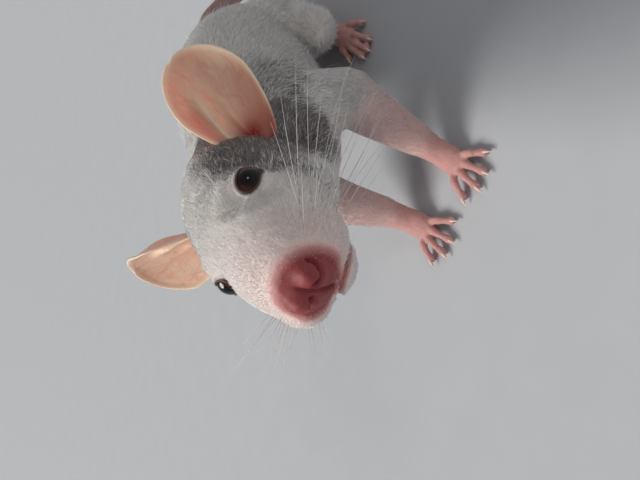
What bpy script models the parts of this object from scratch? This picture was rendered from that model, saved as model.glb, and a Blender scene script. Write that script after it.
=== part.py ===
"""A dumbo rat, life size and still, alert on its four feet with its chest raised and its nose lifted.

The rat looks along -Y, its left is +X and up is +Z. The origin is the middle of its footprint, on the
floor. Sizes are worked out in millimetres and become metres where a mesh is made. The flesh is modelled
whole, from lofts that a Boolean union joins and a voxel remesh and a few smoothing passes blend, and is
then parted into its nodes by shapes that leave a thin gap. Places are given for the left side, and the
right side mirrors them.
"""

import math

import bmesh
import bpy
import numpy as np
from mathutils import Vector
from mathutils.bvhtree import BVHTree

MM = 0.001
GAP = 0.3

# The head's own frame: x to its left, y backwards, z up, from midway between the ear openings.
HEAD_AT = np.array([0.0, -55.0, 66.0])
HEAD_TURN = math.radians(9.5)
HEAD_LIFT = math.radians(15.5)
HEAD_BASE = np.array([0.0, 10.5, -3.0])
EYE_AT = np.array([9.1, -21.4, 3.5])
EYE_LOOK = np.array([0.87, -0.34, 0.35])
EYE_RADIUS = 3.2
LID_REACH = 1.6
LID_THICK = 1.0
EAR_ROOTS = {1: np.array([10.4, 2.4, -4.2]), -1: np.array([7.4, 4.0, 1.2])}
EAR_RISE = {1: np.array([0.55, 0.12, 0.82]), -1: np.array([0.75, 0.15, 0.64])}
EAR_FACING = {1: np.array([0.29, -0.94, 0.17]), -1: np.array([0.42, -0.91, 0.08])}
EAR_LENGTH = 26.9
EAR_ARC = 20.8
EAR_THICK = 0.8
EAR_ROLL_ROOT = 4.2
EAR_ROLL_TIP = 15.0
EAR_BOW = 3.0
EAR_OPENING_AT = {1: np.array([14.4, 1.2, -2.0]), -1: np.array([14.0, 2.0, 1.0])}
EAR_OPENING_RADII = (2.4, 2.0, 3.0)
NOSTRIL_AT = np.array([2.5, -41.4, -4.2])
MOUTH_LINE = ((5.8, -27.5, -13.0), (4.6, -32.6, -12.4), (2.6, -36.4, -11.4), (0.0, -37.8, -11.0))
LIP_CLEFT = ((0.0, -41.6, -6.8), (0.0, -40.6, -8.8), (0.0, -39.0, -10.8))
GROOVE_RADIUS = 0.42

# Head sections: y, top z, bottom z, half width, z of the widest line, in the head's frame.
SKULL = (
    (-41.6, -2.0, -6.2, 2.0, -4.2),
    (-40.6, 0.2, -8.0, 4.6, -4.2),
    (-38.4, 2.2, -9.8, 7.0, -4.4),
    (-35.0, 4.4, -11.2, 9.2, -4.6),
    (-30.0, 7.2, -12.4, 10.9, -4.2),
    (-24.5, 9.5, -13.4, 12.0, -3.4),
    (-18.0, 11.3, -14.6, 12.8, -2.4),
    (-10.0, 12.6, -16.0, 13.6, -2.6),
    (-2.0, 12.9, -16.8, 13.8, -3.0),
    (6.0, 11.8, -17.0, 13.0, -3.0),
    (12.0, 8.6, -14.0, 10.0, -3.0),
)
# Trunk and neck: middle line x, y, z, half width and half height, from inside the head to the tail.
TRUNK = (
    (-1.2, -57.0, 64.0, 12.0, 12.5),
    (-0.8, -47.0, 59.0, 13.8, 15.0),
    (0.0, -37.0, 52.0, 16.2, 18.2),
    (0.0, -24.0, 46.5, 18.6, 20.6),
    (0.0, -8.0, 41.3, 20.4, 22.3),
    (0.0, 10.0, 36.4, 22.5, 23.3),
    (0.0, 27.0, 31.0, 23.8, 22.3),
    (0.0, 41.0, 25.2, 21.6, 18.6),
    (0.0, 51.0, 20.4, 16.0, 13.4),
    (0.0, 58.0, 18.2, 8.4, 8.4),
    (0.0, 66.0, 19.6, 4.7, 4.7),
)
NECK_BASE = np.array([0.0, -34.0, 50.0])
NECK_RUN = np.array([0.0, -0.84, 0.54])

# Limbs: joints from the body outwards, and the radius at each.
FORE_JOINTS = ((12.5, -27.0, 38.0), (15.6, -24.0, 25.5), (13.4, -34.0, 15.5), (11.2, -42.0, 6.0))
FORE_RADII = (9.2, 8.0, 5.8, 3.9)
SHOULDER_AT = (11.5, -24.0, 41.0)
SHOULDER_RADII = (8.4, 13.0, 14.0)
WRIST = np.array([11.6, -40.4, 8.2])
WRIST_RUN = np.array([0.24, 0.86, 1.0])
HIND_JOINTS = ((17.0, 34.0, 23.0), (23.5, 15.5, 17.5), (22.5, 31.0, 12.0), (20.5, 43.0, 8.0))
HIND_RADII = (9.0, 7.2, 5.8, 4.4)
HAUNCH_AT = (17.5, 31.0, 21.5)
HAUNCH_RADII = (10.0, 18.0, 16.0)
HEEL_TOP = 8.0
LIMB_MARGIN = 1.3
PALM = ((11.4, -41.0, 8.6, 3.7), (11.2, -44.4, 4.4, 3.7), (10.9, -47.6, 2.6, 3.9), (10.8, -50.2, 1.9, 3.5))
FINGERS = ((7.7, 3.9, 6.2), (9.8, 8.6, 8.6), (11.8, 13.0, 8.4), (13.5, 17.2, 5.8))
FINGER_KNUCKLES = -50.4
SOLE = (
    (20.5, 46.0, 4.2, 3.9),
    (20.8, 40.0, 3.6, 3.8),
    (21.6, 31.0, 3.0, 3.5),
    (22.6, 23.0, 2.4, 4.1),
    (23.2, 18.0, 1.9, 4.0),
)
TOES = (
    (19.9, 17.4, 5.5, 20.5),
    (21.6, 20.6, 9.0, 17.5),
    (23.3, 23.4, 9.8, 17.0),
    (25.0, 26.4, 9.2, 17.5),
    (26.5, 29.6, 5.8, 21.0),
)
FINGER_RADIUS = 1.1
TOE_RADIUS = 1.15

# The tail's middle line. Where it would sink into the floor it lies on it instead.
TAIL_PATH = (
    (0.0, 60.5, 18.4),
    (-2.0, 70.0, 22.0),
    (-2.6, 80.0, 25.0),
    (3.4, 88.5, 23.0),
    (13.5, 90.0, 16.0),
    (25.5, 85.0, 9.0),
    (38.5, 76.0, 4.6),
    (51.0, 64.0, 2.4),
    (61.0, 48.0, 0.0),
    (66.5, 29.0, 0.0),
    (68.0, 9.0, 0.0),
    (66.5, -10.0, 0.0),
)
TAIL_RADIUS_ROOT = 4.9
TAIL_RADIUS_TIP = 1.0
TAIL_SIDES = 9
TAIL_RINGS = 34
TAIL_SPLITS = (0.3, 0.64)
FLAT_DEPTH = 0.15

VOXEL = 0.75
SMOOTHING = 8
FLESH_TRIANGLES = 5600

WHITE_COAT = (0.80, 0.77, 0.73)
GREY_COAT = (0.30, 0.28, 0.27)
EAR_SKIN = (0.78, 0.46, 0.34)
PAW_SKIN = (0.76, 0.47, 0.43)
TAIL_SKIN = (0.46, 0.32, 0.29)
EYE_BLACK = (0.02, 0.008, 0.008)


def unit(vector):
    vector = np.asarray(vector, float)
    return vector / np.linalg.norm(vector, axis=-1, keepdims=True)


def mirrored(points, side):
    """Points of the left side as they are, or reflected to the right."""
    return np.asarray(points, float) * np.array([side, 1.0, 1.0])


def curve_through(points, count):
    """A Catmull-Rom curve through rows of numbers, read at count even steps of its parameter."""
    rows = np.asarray(points, float)
    ends = np.vstack([2 * rows[0] - rows[1], rows, 2 * rows[-1] - rows[-2]])
    at = np.linspace(0, len(rows) - 1, count)
    k = np.minimum(at.astype(int), len(rows) - 2)
    t = (at - k)[:, None]
    a, b, c, d = (ends[k + i] for i in range(4))
    return b + 0.5 * ((c - a) * t + (2 * a - 5 * b + 4 * c - d) * t**2 + (3 * b - a - 3 * c + d) * t**3)


def even_curve(points, count):
    """The same curve, with its points evenly spaced along its length."""
    fine = curve_through(points, 40 * len(points))
    step = np.linalg.norm(np.diff(fine[:, :3], axis=0), axis=1)
    length = np.concatenate([[0.0], np.cumsum(step)])
    at = np.linspace(0, length[-1], count)
    return np.stack([np.interp(at, length, column) for column in fine.T], 1)


def head_to_world(points):
    """Points of the head's frame, lifted about its x axis, then turned to the rat's left, then placed."""
    x, y, z = np.moveaxis(np.asarray(points, float), -1, 0)
    lifted_y = y * math.cos(HEAD_LIFT) + z * math.sin(HEAD_LIFT)
    lifted_z = z * math.cos(HEAD_LIFT) - y * math.sin(HEAD_LIFT)
    turned_x = x * math.cos(HEAD_TURN) - lifted_y * math.sin(HEAD_TURN)
    turned_y = x * math.sin(HEAD_TURN) + lifted_y * math.cos(HEAD_TURN)
    return np.stack([turned_x, turned_y, lifted_z], -1) + HEAD_AT


def mesh_object(name, points, faces):
    """A mesh from points in millimetres, its faces turned outwards."""
    mesh = bpy.data.meshes.new(name)
    mesh.from_pydata((np.asarray(points) * MM).tolist(), [], faces)
    shape = bmesh.new()
    shape.from_mesh(mesh)
    bmesh.ops.recalc_face_normals(shape, faces=shape.faces)
    shape.to_mesh(mesh)
    shape.free()
    obj = bpy.data.objects.new(name, mesh)
    bpy.context.scene.collection.objects.link(obj)
    return obj


def tube_faces(count, sides, loop=False):
    """Quads between rings of points, joined back to the first ring if loop is set."""
    return [
        (i * sides + j, i * sides + (j + 1) % sides, k * sides + (j + 1) % sides, k * sides + j)
        for i, k in ((i, (i + 1) % count) for i in range(count if loop else count - 1))
        for j in range(sides)
    ]


def closed_loft(name, rings):
    """A closed solid through rings of points, an array (rings, sides, 3), its ends closed by fans."""
    count, sides = rings.shape[:2]
    points = np.concatenate([rings.reshape(-1, 3), rings[:1].mean(1), rings[-1:].mean(1)])
    first, last, base = count * sides, count * sides + 1, (count - 1) * sides
    fans = [(first, (j + 1) % sides, j) for j in range(sides)]
    fans += [(last, base + j, base + (j + 1) % sides) for j in range(sides)]
    return mesh_object(name, points, tube_faces(count, sides) + fans)


def sweep(name, path, wide, high, sides=14, upward=(0.0, 0.0, 1.0), power=2.0, domes=(3, 3), tangent=None):
    """Rings square to a path, of half width wide and half height high, with domed ends of so many rings."""
    path, wide, high = np.asarray(path, float), np.asarray(wide, float), np.asarray(high, float)
    tangent = unit(np.gradient(path, axis=0)) if tangent is None else tangent
    for end, count in enumerate(domes):
        if not count:
            continue
        lean = np.radians(90.0) * np.arange(1, count + 1) / (count + 0.5)
        lean = lean if end else lean[::-1]
        at = -end
        reach = (path[at] + (2 * end - 1) * tangent[at] * (wide[at] * np.sin(lean))[:, None])
        parts = [(reach, path), (wide[at] * np.cos(lean), wide), (high[at] * np.cos(lean), high)]
        parts.append((np.repeat(tangent[at : at + 1 or None], count, 0), tangent))
        path, wide, high, tangent = (np.concatenate(pair[::-1] if end else pair) for pair in parts)
    across = unit(np.cross(np.broadcast_to(upward, tangent.shape), tangent))
    up = np.cross(tangent, across)
    angle = np.arange(sides) * 2 * math.pi / sides
    flat = np.sign(np.cos(angle)) * np.abs(np.cos(angle)) ** (2 / power)
    tall = np.sign(np.sin(angle)) * np.abs(np.sin(angle)) ** (2 / power)
    offset = across[:, None] * (wide[:, None] * flat)[..., None] + up[:, None] * (high[:, None] * tall)[..., None]
    return closed_loft(name, path[:, None] + offset)


def ball(name, centre, radii, rings=12, sides=20, to_world=None, turn=0.0):
    """An ellipsoid, its long way turned about x by turn radians before it is placed."""
    polar = np.linspace(0, math.pi, rings + 2)[1:-1, None]
    around = np.arange(sides)[None] * 2 * math.pi / sides
    x = radii[0] * np.sin(polar) * np.cos(around)
    z = radii[2] * np.sin(polar) * np.sin(around)
    y = np.broadcast_to(radii[1] * np.cos(polar), x.shape)
    turned_y = y * math.cos(turn) - z * math.sin(turn)
    turned_z = y * math.sin(turn) + z * math.cos(turn)
    points = np.stack([x, turned_y, turned_z], -1) + np.asarray(centre, float)
    return closed_loft(name, to_world(points) if to_world else points)


def half_space(name, point, normal, reach=300.0):
    """A large block with one face through point, on the side that normal points to."""
    normal = unit(normal)
    across = unit(np.cross(normal, (0.3, 0.2, 0.9)))
    up = np.cross(normal, across)
    square = [across * a + up * b for a, b in ((-1, -1), (1, -1), (1, 1), (-1, 1))]
    near = [np.asarray(point) + side * reach for side in square]
    far = [corner + normal * reach for corner in near]
    faces = [(0, 1, 2, 3), (7, 6, 5, 4), (0, 4, 5, 1), (1, 5, 6, 2), (2, 6, 7, 3), (3, 7, 4, 0)]
    return mesh_object(name, near + far, faces)


def apply_modifiers(obj):
    graph = bpy.context.evaluated_depsgraph_get()
    made = bpy.data.meshes.new_from_object(obj.evaluated_get(graph))
    obj.modifiers.clear()
    before = obj.data
    obj.data = made
    bpy.data.meshes.remove(before)


def boolean(obj, others, operation):
    """One Boolean with a collection of closed meshes, applied, with the collection's objects then removed."""
    group = bpy.data.collections.new("operands")
    bpy.context.scene.collection.children.link(group)
    for other in others:
        bpy.context.scene.collection.objects.unlink(other)
        group.objects.link(other)
    modifier = obj.modifiers.new("boolean", "BOOLEAN")
    modifier.operation = operation
    modifier.solver = "EXACT"
    modifier.operand_type = "COLLECTION"
    modifier.collection = group
    apply_modifiers(obj)
    for other in others:
        bpy.data.objects.remove(other)
    bpy.data.collections.remove(group)
    return obj


def keep_largest(obj):
    """Keeps the closed surface with the most points, and triangulates it."""
    shape = bmesh.new()
    shape.from_mesh(obj.data)
    unseen, largest = set(shape.verts), set()
    while unseen:
        seed = unseen.pop()
        island, front = {seed}, [seed]
        while front:
            near = {vert for edge in front.pop().link_edges for vert in edge.verts} & unseen
            unseen -= near
            island |= near
            front.extend(near)
        largest = max(largest, island, key=len)
    bmesh.ops.delete(shape, geom=[v for v in shape.verts if v not in largest], context="VERTS")
    bmesh.ops.triangulate(shape, faces=shape.faces)
    shape.to_mesh(obj.data)
    shape.free()
    return obj


def copy_of(obj, name, swell=0.0):
    """A twin of a mesh object, its points moved out along their normals by swell millimetres."""
    mesh = obj.data.copy()
    twin = bpy.data.objects.new(name, mesh)
    bpy.context.scene.collection.objects.link(twin)
    if swell:
        place, normal = np.empty(3 * len(mesh.vertices)), np.empty(3 * len(mesh.vertices))
        mesh.vertices.foreach_get("co", place)
        mesh.vertex_normals.foreach_get("vector", normal)
        mesh.vertices.foreach_set("co", place + normal * swell * MM)
    return twin


def head_ball(name, centre, radii, side=1, rings=12, sides=20, turn=0.0):
    return ball(name, mirrored(centre, side), radii, rings, sides, head_to_world, turn)


def skull():
    """The head's main form: rings whose top and bottom halves have their own heights."""
    rows = curve_through(SKULL, 34)
    angle = np.arange(28) * 2 * math.pi / 28
    cos, sin = np.cos(angle), np.sin(angle)
    power = 2 / 2.15
    y, top, bottom, wide, middle = (column[:, None] for column in rows.T)
    x = wide * np.sign(cos) * np.abs(cos) ** power
    z = middle + np.where(sin > 0, top - middle, middle - bottom) * np.sign(sin) * np.abs(sin) ** power
    return closed_loft("skull", head_to_world(np.stack([x, np.broadcast_to(y, x.shape), z], -1)))


def eyelids(side):
    """A ring round the eye, where the eyeball leaves the skin."""
    eye, look = mirrored(EYE_AT, side), unit(mirrored(EYE_LOOK, side))
    across = unit(np.cross((0.0, 0.0, 1.0), look))
    up = np.cross(look, across)
    radius = math.sqrt((EYE_RADIUS + 0.45) ** 2 - LID_REACH**2)
    turn = np.arange(24)[:, None] * 2 * math.pi / 24
    outward = across * np.cos(turn) + up * np.sin(turn)
    centre = eye + look * LID_REACH + radius * outward
    angle = (np.arange(8) * 2 * math.pi / 8)[None, :, None]
    rings = centre[:, None] + LID_THICK * (outward[:, None] * np.cos(angle) + look * np.sin(angle))
    return mesh_object("eyelids", head_to_world(rings).reshape(-1, 3), tube_faces(24, 8, loop=True))


def head_pieces():
    """The skull with its whisker pads, cheeks, brows, nose, ear seats, lids and chin."""
    pieces = [skull(), head_ball("chin", (0.0, -32.0, -11.8), (4.6, 5.4, 3.2))]
    for side in (-1, 1):
        pieces += [
            head_ball("whisker_pad", (5.4, -32.8, -6.2), (5.4, 7.4, 5.4), side),
            head_ball("cheek", (8.4, -13.0, -7.4), (5.4, 11.0, 7.0), side),
            head_ball("brow", (7.2, -21.0, 6.0), (4.0, 6.6, 3.2), side),
            head_ball("nose_wing", (2.3, -40.4, -4.0), (2.4, 2.6, 2.6), side, 8, 12),
            head_ball("ear_seat", (10.8, 3.0, 0.0), (3.8, 5.6, 6.4), side),
            eyelids(side),
        ]
    return pieces


def limb(joints, radii, side, margin=0.0):
    """Two rounded tubes that meet at a limb's second joint, its sharpest bend, swollen by margin."""
    rows = np.hstack([mirrored(joints, side), np.asarray(radii, float)[:, None] + margin])
    tubes = []
    for name, span in (("upper", rows[:2]), ("lower", rows[1:])):
        line = even_curve(span, 5)
        tubes.append(sweep(name, line[:, :3], line[:, 3], line[:, 3], 12, (1.0, 0.2, 0.1), domes=(2, 2)))
    return boolean(tubes[0], tubes[1:], "UNION")


def foreleg(side, margin=0.0):
    return limb(FORE_JOINTS, FORE_RADII, side, margin)


def hind_leg(side, margin=0.0):
    """Thigh and shank joined to the haunch."""
    haunch = ball("haunch", mirrored(HAUNCH_AT, side), np.add(HAUNCH_RADII, margin), 8, 14, turn=-0.5)
    return boolean(haunch, [limb(HIND_JOINTS, HIND_RADII, side, margin)], "UNION")


def whole_flesh():
    """Head, neck, trunk and legs as one smooth closed mesh."""
    rows = even_curve(TRUNK, 44)
    body = sweep("flesh", rows[:, :3], rows[:, 3], rows[:, 4], 32, power=2.1)
    pieces = head_pieces()
    for side in (-1, 1):
        pieces += [foreleg(side), hind_leg(side)]
        pieces.append(ball("shoulder", mirrored(SHOULDER_AT, side), SHOULDER_RADII, turn=-0.4))
    boolean(body, pieces, "UNION")
    remesh = body.modifiers.new("remesh", "REMESH")
    remesh.mode = "VOXEL"
    remesh.voxel_size = VOXEL * MM
    smooth = body.modifiers.new("smooth", "SMOOTH")
    smooth.factor = 0.5
    smooth.iterations = SMOOTHING
    apply_modifiers(body)
    decimate = body.modifiers.new("decimate", "DECIMATE")
    decimate.ratio = FLESH_TRIANGLES / (2 * len(body.data.polygons))
    decimate.use_collapse_triangulate = True
    apply_modifiers(body)
    return body


def groove(name, path, surface):
    """A thin rounded cutter that follows the skin nearest to a path given in the head's frame."""
    points = []
    for point in head_to_world(curve_through(path, 9)):
        nearest = surface.find_nearest(Vector(point * MM))[0]
        points.append(np.array(nearest) / MM)
    radius = np.full(len(points), GROOVE_RADIUS)
    return sweep(name, points, radius, radius, 6, upward=(0.1, 0.3, 1.0), domes=(1, 1))


def head_cuts(body):
    """What is cut from the head: eye sockets, nostrils, the cleft and line of the mouth, and ear openings."""
    surface = BVHTree.FromObject(body, bpy.context.evaluated_depsgraph_get())
    mouth = [*MOUTH_LINE, *(tuple(p) for p in mirrored(MOUTH_LINE, -1)[-2::-1])]
    cuts = [groove("mouth", mouth, surface), groove("cleft", LIP_CLEFT, surface)]
    for side in (-1, 1):
        cuts += [
            head_ball("socket", EYE_AT, (EYE_RADIUS + GAP,) * 3, side, 10, 18),
            head_ball("nostril", NOSTRIL_AT, (1.05, 1.8, 0.9), side, 6, 10, turn=-0.5),
            head_ball("ear_opening", EAR_OPENING_AT[side], EAR_OPENING_RADII, side, 6, 10),
        ]
    return cuts


def flesh_nodes(body):
    """The whole flesh, parted into head, neck, torso and legs."""
    forward = unit(head_to_world((0.0, -1.0, 0.0)) - head_to_world((0.0, 0.0, 0.0)))
    head_base, neck_run = head_to_world(HEAD_BASE), unit(NECK_RUN)
    tail_root, tail_run = np.array(TAIL_PATH[0]), unit(np.subtract(TAIL_PATH[1], TAIL_PATH[0]))
    half = GAP / 2
    nodes = {"head": copy_of(body, "head"), "neck": copy_of(body, "neck"), "torso": copy_of(body, "torso")}
    behind_head = half_space("behind_head", head_base + forward * half, -forward)
    boolean(nodes["head"], [behind_head, *head_cuts(body)], "DIFFERENCE")
    neck_cuts = [
        half_space("before_neck", head_base - forward * half, forward),
        half_space("behind_neck", NECK_BASE + neck_run * half, -neck_run),
    ]
    boolean(nodes["neck"], neck_cuts, "DIFFERENCE")
    torso_cuts = [
        half_space("before_torso", NECK_BASE - neck_run * half, neck_run),
        half_space("behind_torso", tail_root - tail_run * half, tail_run),
    ]
    for side in (-1, 1):
        torso_cuts += [foreleg(side, LIMB_MARGIN + GAP), hind_leg(side, LIMB_MARGIN + GAP)]
    boolean(nodes["torso"], torso_cuts, "DIFFERENCE")
    wrist_run = unit(WRIST_RUN)
    for side, word in ((1, "left"), (-1, "right")):
        fore, hind = copy_of(body, "fore_leg_" + word), copy_of(body, "hind_leg_" + word)
        boolean(fore, [foreleg(side, LIMB_MARGIN)], "INTERSECT")
        wrist = mirrored(WRIST + wrist_run * half, side)
        boolean(fore, [half_space("hand", wrist, mirrored(-wrist_run, side))], "DIFFERENCE")
        boolean(hind, [hind_leg(side, LIMB_MARGIN)], "INTERSECT")
        boolean(hind, [half_space("foot", (0.0, 0.0, HEEL_TOP + half), (0.0, 0.0, -1.0))], "DIFFERENCE")
        nodes |= {fore.name: fore, hind.name: hind}
    return nodes


def ear_surface(side, rings, spokes):
    """A disc rolled into a cup: its width follows arcs that are tight at the root and open at the tip."""
    rise = unit(mirrored(EAR_RISE[side], side))
    facing = mirrored(EAR_FACING[side], side)
    facing = unit(facing - rise * (facing @ rise))
    across = np.cross(rise, facing) * side
    ring = (np.arange(1, rings + 1) / rings)[:, None]
    turn = np.arange(spokes)[None] * 2 * math.pi / spokes
    along = np.concatenate([[0.5], (0.5 + 0.5 * ring * np.cos(turn)).ravel()])
    sideways = np.concatenate([[0.0], (ring * np.sin(turn)).ravel()])
    taper = 0.62 + 0.38 * np.clip(along / 0.62, 0, 1) ** 1.1
    roll = EAR_ROLL_ROOT + (EAR_ROLL_TIP - EAR_ROLL_ROOT) * along**0.9
    angle = sideways * taper * EAR_ARC / 2 / roll
    depth = roll * (1 - np.cos(angle)) - EAR_BOW * np.sin(math.pi * along / 2) ** 2
    return (
        mirrored(EAR_ROOTS[side], side)
        + rise * (along * EAR_LENGTH)[:, None]
        + across * (roll * np.sin(angle))[:, None]
        + facing * depth[:, None]
    )


def ear(side, name, body):
    """A thin closed cup, from its inner surface and a twin one thickness behind, cut clear of the flesh."""
    rings, spokes = 5, 22
    front = ear_surface(side, rings, spokes)
    fans = [(0, 1 + j, 1 + (j + 1) % spokes) for j in range(spokes)]
    quads = [tuple(1 + v for v in face[::-1]) for face in tube_faces(rings, spokes)]
    halves = [face[:3] for face in quads] + [(face[0], face[2], face[3]) for face in quads]
    faces = np.array(fans + halves)
    flat = np.cross(front[faces[:, 1]] - front[faces[:, 0]], front[faces[:, 2]] - front[faces[:, 0]])
    normal = np.zeros_like(front)
    for corner in range(3):
        np.add.at(normal, faces[:, corner], flat)
    back = front + unit(normal) * EAR_THICK * side
    count, rim = len(front), len(front) - spokes
    ahead = [rim + (j + 1) % spokes for j in range(spokes)]
    wall = [(rim + j, ahead[j], ahead[j] + count, rim + j + count) for j in range(spokes)]
    twin = (faces[:, ::-1] + count).tolist()
    shell = mesh_object(name, head_to_world(np.vstack([front, back])), faces.tolist() + twin + wall)
    return boolean(shell, [copy_of(body, "clearance", GAP)], "DIFFERENCE")


def digit(name, knuckle, tip, radius, arch):
    """A toe: from its knuckle over a low arch down to the floor, with a tapered, bent claw."""
    knuckle, tip = np.asarray(knuckle, float), np.asarray(tip, float)
    middle = (knuckle + tip) / 2 + np.array([0.0, 0.0, arch])
    rows = even_curve([(*knuckle, radius * 1.12), (*middle, radius), (*tip, radius * 0.92)], 4)
    toe = sweep(name, rows[:, :3], rows[:, 3], rows[:, 3], 6, domes=(0, 1))
    ahead = unit((tip - middle) * np.array([1.0, 1.0, 0.0]))
    reaches = ((radius * 0.3, 0.2), (radius * 0.9 + 0.7, 0.3), (radius * 0.9 + 1.7, -0.35))
    claw_path = [tip + ahead * reach + np.array([0.0, 0.0, rise]) for reach, rise in reaches]
    wide = np.array([0.62, 0.5, 0.32])
    return [toe, sweep(name + "_claw", claw_path, wide, wide * 1.1, 4, domes=(0, 1))]


def floor_cut():
    return half_space("floor", (0.0, 0.0, 0.0), (0.0, 0.0, -1.0))


def fore_paw(side, name):
    """A broad palm on the floor with four spread fingers, up to the wrist."""
    rows = even_curve([(*mirrored(row[:3], side), row[3]) for row in PALM], 7)
    high = np.minimum(rows[:, 3], np.linspace(4.6, 2.0, 7))
    palm = sweep(name, rows[:, :3], rows[:, 3], high, 10, domes=(1, 1))
    pieces = []
    for k, (knuckle_x, tip_x, reach) in enumerate(FINGERS):
        knuckle = mirrored((knuckle_x, FINGER_KNUCKLES, 1.9), side)
        tip = mirrored((tip_x, FINGER_KNUCKLES - reach, 0.95), side)
        pieces += digit(f"{name}_finger_{k}", knuckle, tip, FINGER_RADIUS, 0.9)
    boolean(palm, pieces, "UNION")
    wrist_run = unit(WRIST_RUN)
    wrist = mirrored(WRIST - wrist_run * GAP / 2, side)
    return boolean(palm, [floor_cut(), half_space("arm", wrist, mirrored(wrist_run, side))], "DIFFERENCE")


def hind_foot(side, name):
    """A long flat foot from the heel, with five toes, the middle three the longest."""
    rows = even_curve([(*mirrored(row[:3], side), row[3]) for row in SOLE], 9)
    foot = sweep(name, rows[:, :3], rows[:, 3], np.linspace(4.4, 2.1, 9), 10, domes=(1, 1))
    pieces = []
    for k, (knuckle_x, tip_x, reach, knuckle_y) in enumerate(TOES):
        knuckle = mirrored((knuckle_x, knuckle_y, 1.9), side)
        tip = mirrored((tip_x, knuckle_y - reach, 1.0), side)
        pieces += digit(f"{name}_toe_{k}", knuckle, tip, TOE_RADIUS, 0.8)
    boolean(foot, pieces, "UNION")
    heel_top = (0.0, 0.0, HEEL_TOP - GAP / 2)
    return boolean(foot, [floor_cut(), half_space("shank", heel_top, (0.0, 0.0, 1.0))], "DIFFERENCE")


def tail():
    """A tapering tube in three lengths, each end a flat face half a gap from its neighbour."""
    path = even_curve(TAIL_PATH, TAIL_RINGS)
    share = np.linspace(0, 1, TAIL_RINGS)
    radius = TAIL_RADIUS_ROOT + (TAIL_RADIUS_TIP - TAIL_RADIUS_ROOT) * share**0.92
    path[:, 2] = np.maximum(path[:, 2], radius - FLAT_DEPTH)
    tangent = unit(np.gradient(path, axis=0))
    splits = [0, *(round(share * (TAIL_RINGS - 1)) for share in TAIL_SPLITS), TAIL_RINGS - 1]
    pieces = {}
    for k, name in enumerate(("tail_base", "tail_middle", "tail_tip")):
        first, last = splits[k], splits[k + 1]
        line = path[first : last + 1].copy()
        line[0] += tangent[first] * GAP / 2
        line[-1] -= tangent[last] * (0.0 if last == TAIL_RINGS - 1 else GAP / 2)
        width, run = radius[first : last + 1], tangent[first : last + 1]
        domes = (0, 2 if last == TAIL_RINGS - 1 else 0)
        piece = sweep(name, line, width, width, TAIL_SIDES, (0.1, 0.2, 1.0), domes=domes, tangent=run)
        pieces[name] = boolean(piece, [floor_cut()], "DIFFERENCE")
    return pieces


def finish(obj, colour, roughness):
    material = bpy.data.materials.new(obj.name)
    material.use_nodes = True
    shader = material.node_tree.nodes["Principled BSDF"]
    shader.inputs["Base Color"].default_value = (*colour, 1.0)
    shader.inputs["Roughness"].default_value = roughness
    shader.inputs["Metallic"].default_value = 0.0
    material.diffuse_color = (*colour, 1.0)
    obj.data.materials.clear()
    obj.data.materials.append(material)


def centre_footprint(nodes):
    """Moves every node so that the middle of the whole box stands over the origin."""
    corners = np.array([vert.co for obj in nodes for vert in obj.data.vertices])
    middle = (corners.min(0) + corners.max(0)) / 2
    for obj in nodes:
        for vert in obj.data.vertices:
            vert.co.x -= middle[0]
            vert.co.y -= middle[1]


def main():
    for obj in list(bpy.data.objects):
        bpy.data.objects.remove(obj)
    body = whole_flesh()
    nodes = flesh_nodes(body)
    for side, word in ((1, "left"), (-1, "right")):
        nodes["ear_" + word] = ear(side, "ear_" + word, body)
        nodes["eye_" + word] = head_ball("eye_" + word, EYE_AT, (EYE_RADIUS,) * 3, side, 7, 14)
        nodes["fore_paw_" + word] = fore_paw(side, "fore_paw_" + word)
        nodes["hind_foot_" + word] = hind_foot(side, "hind_foot_" + word)
    nodes |= tail()
    bpy.data.objects.remove(body)
    skins = {"neck": GREY_COAT, "ear": EAR_SKIN, "eye": EYE_BLACK, "fore_paw": PAW_SKIN}
    skins |= {"hind_foot": PAW_SKIN, "tail": TAIL_SKIN}
    for name, obj in nodes.items():
        keep_largest(obj)
        kind = name.removesuffix("_left").removesuffix("_right").split("_base")[0]
        kind = "tail" if kind.startswith("tail") else kind
        finish(obj, skins.get(kind, WHITE_COAT), 0.08 if kind == "eye" else 0.7)
        obj.data.shade_smooth()
    centre_footprint(list(nodes.values()))


main()
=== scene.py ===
"""A dumbo rat, life size and still: white, with a broken grey hood and a wide blaze.

One skin lies under a coat of thin tufts, and the ears, eyes, lids, claws, whiskers and tail are finer
than the solids that they stand for. Shapes are worked out in millimetres in the model's own frame, and are
shifted onto the loaded solids when their meshes are made. The head has a frame of its own: x to its left,
y backwards, z up, from midway between the ear openings. Places are given for the left side.
"""

import math

import bmesh
import bpy
import numpy as np
from mathutils import Matrix, Vector


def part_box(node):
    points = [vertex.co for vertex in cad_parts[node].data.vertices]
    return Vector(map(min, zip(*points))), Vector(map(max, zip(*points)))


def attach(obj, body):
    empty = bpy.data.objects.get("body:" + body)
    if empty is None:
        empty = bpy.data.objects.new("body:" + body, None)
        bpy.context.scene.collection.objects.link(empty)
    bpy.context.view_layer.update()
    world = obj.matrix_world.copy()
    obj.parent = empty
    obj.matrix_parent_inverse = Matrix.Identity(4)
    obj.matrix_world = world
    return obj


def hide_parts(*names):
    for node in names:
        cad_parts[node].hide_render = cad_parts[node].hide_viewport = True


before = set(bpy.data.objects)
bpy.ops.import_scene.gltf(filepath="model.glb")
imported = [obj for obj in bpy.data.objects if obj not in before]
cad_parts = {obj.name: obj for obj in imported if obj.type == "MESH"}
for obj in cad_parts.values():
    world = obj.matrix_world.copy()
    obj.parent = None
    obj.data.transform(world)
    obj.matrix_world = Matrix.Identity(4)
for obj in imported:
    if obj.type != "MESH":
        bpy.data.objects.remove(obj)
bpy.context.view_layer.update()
MM = 0.001
UP = np.array([0.0, 0.0, 1.0])
HANDS = ((1, "left"), (-1, "right"))


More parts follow.
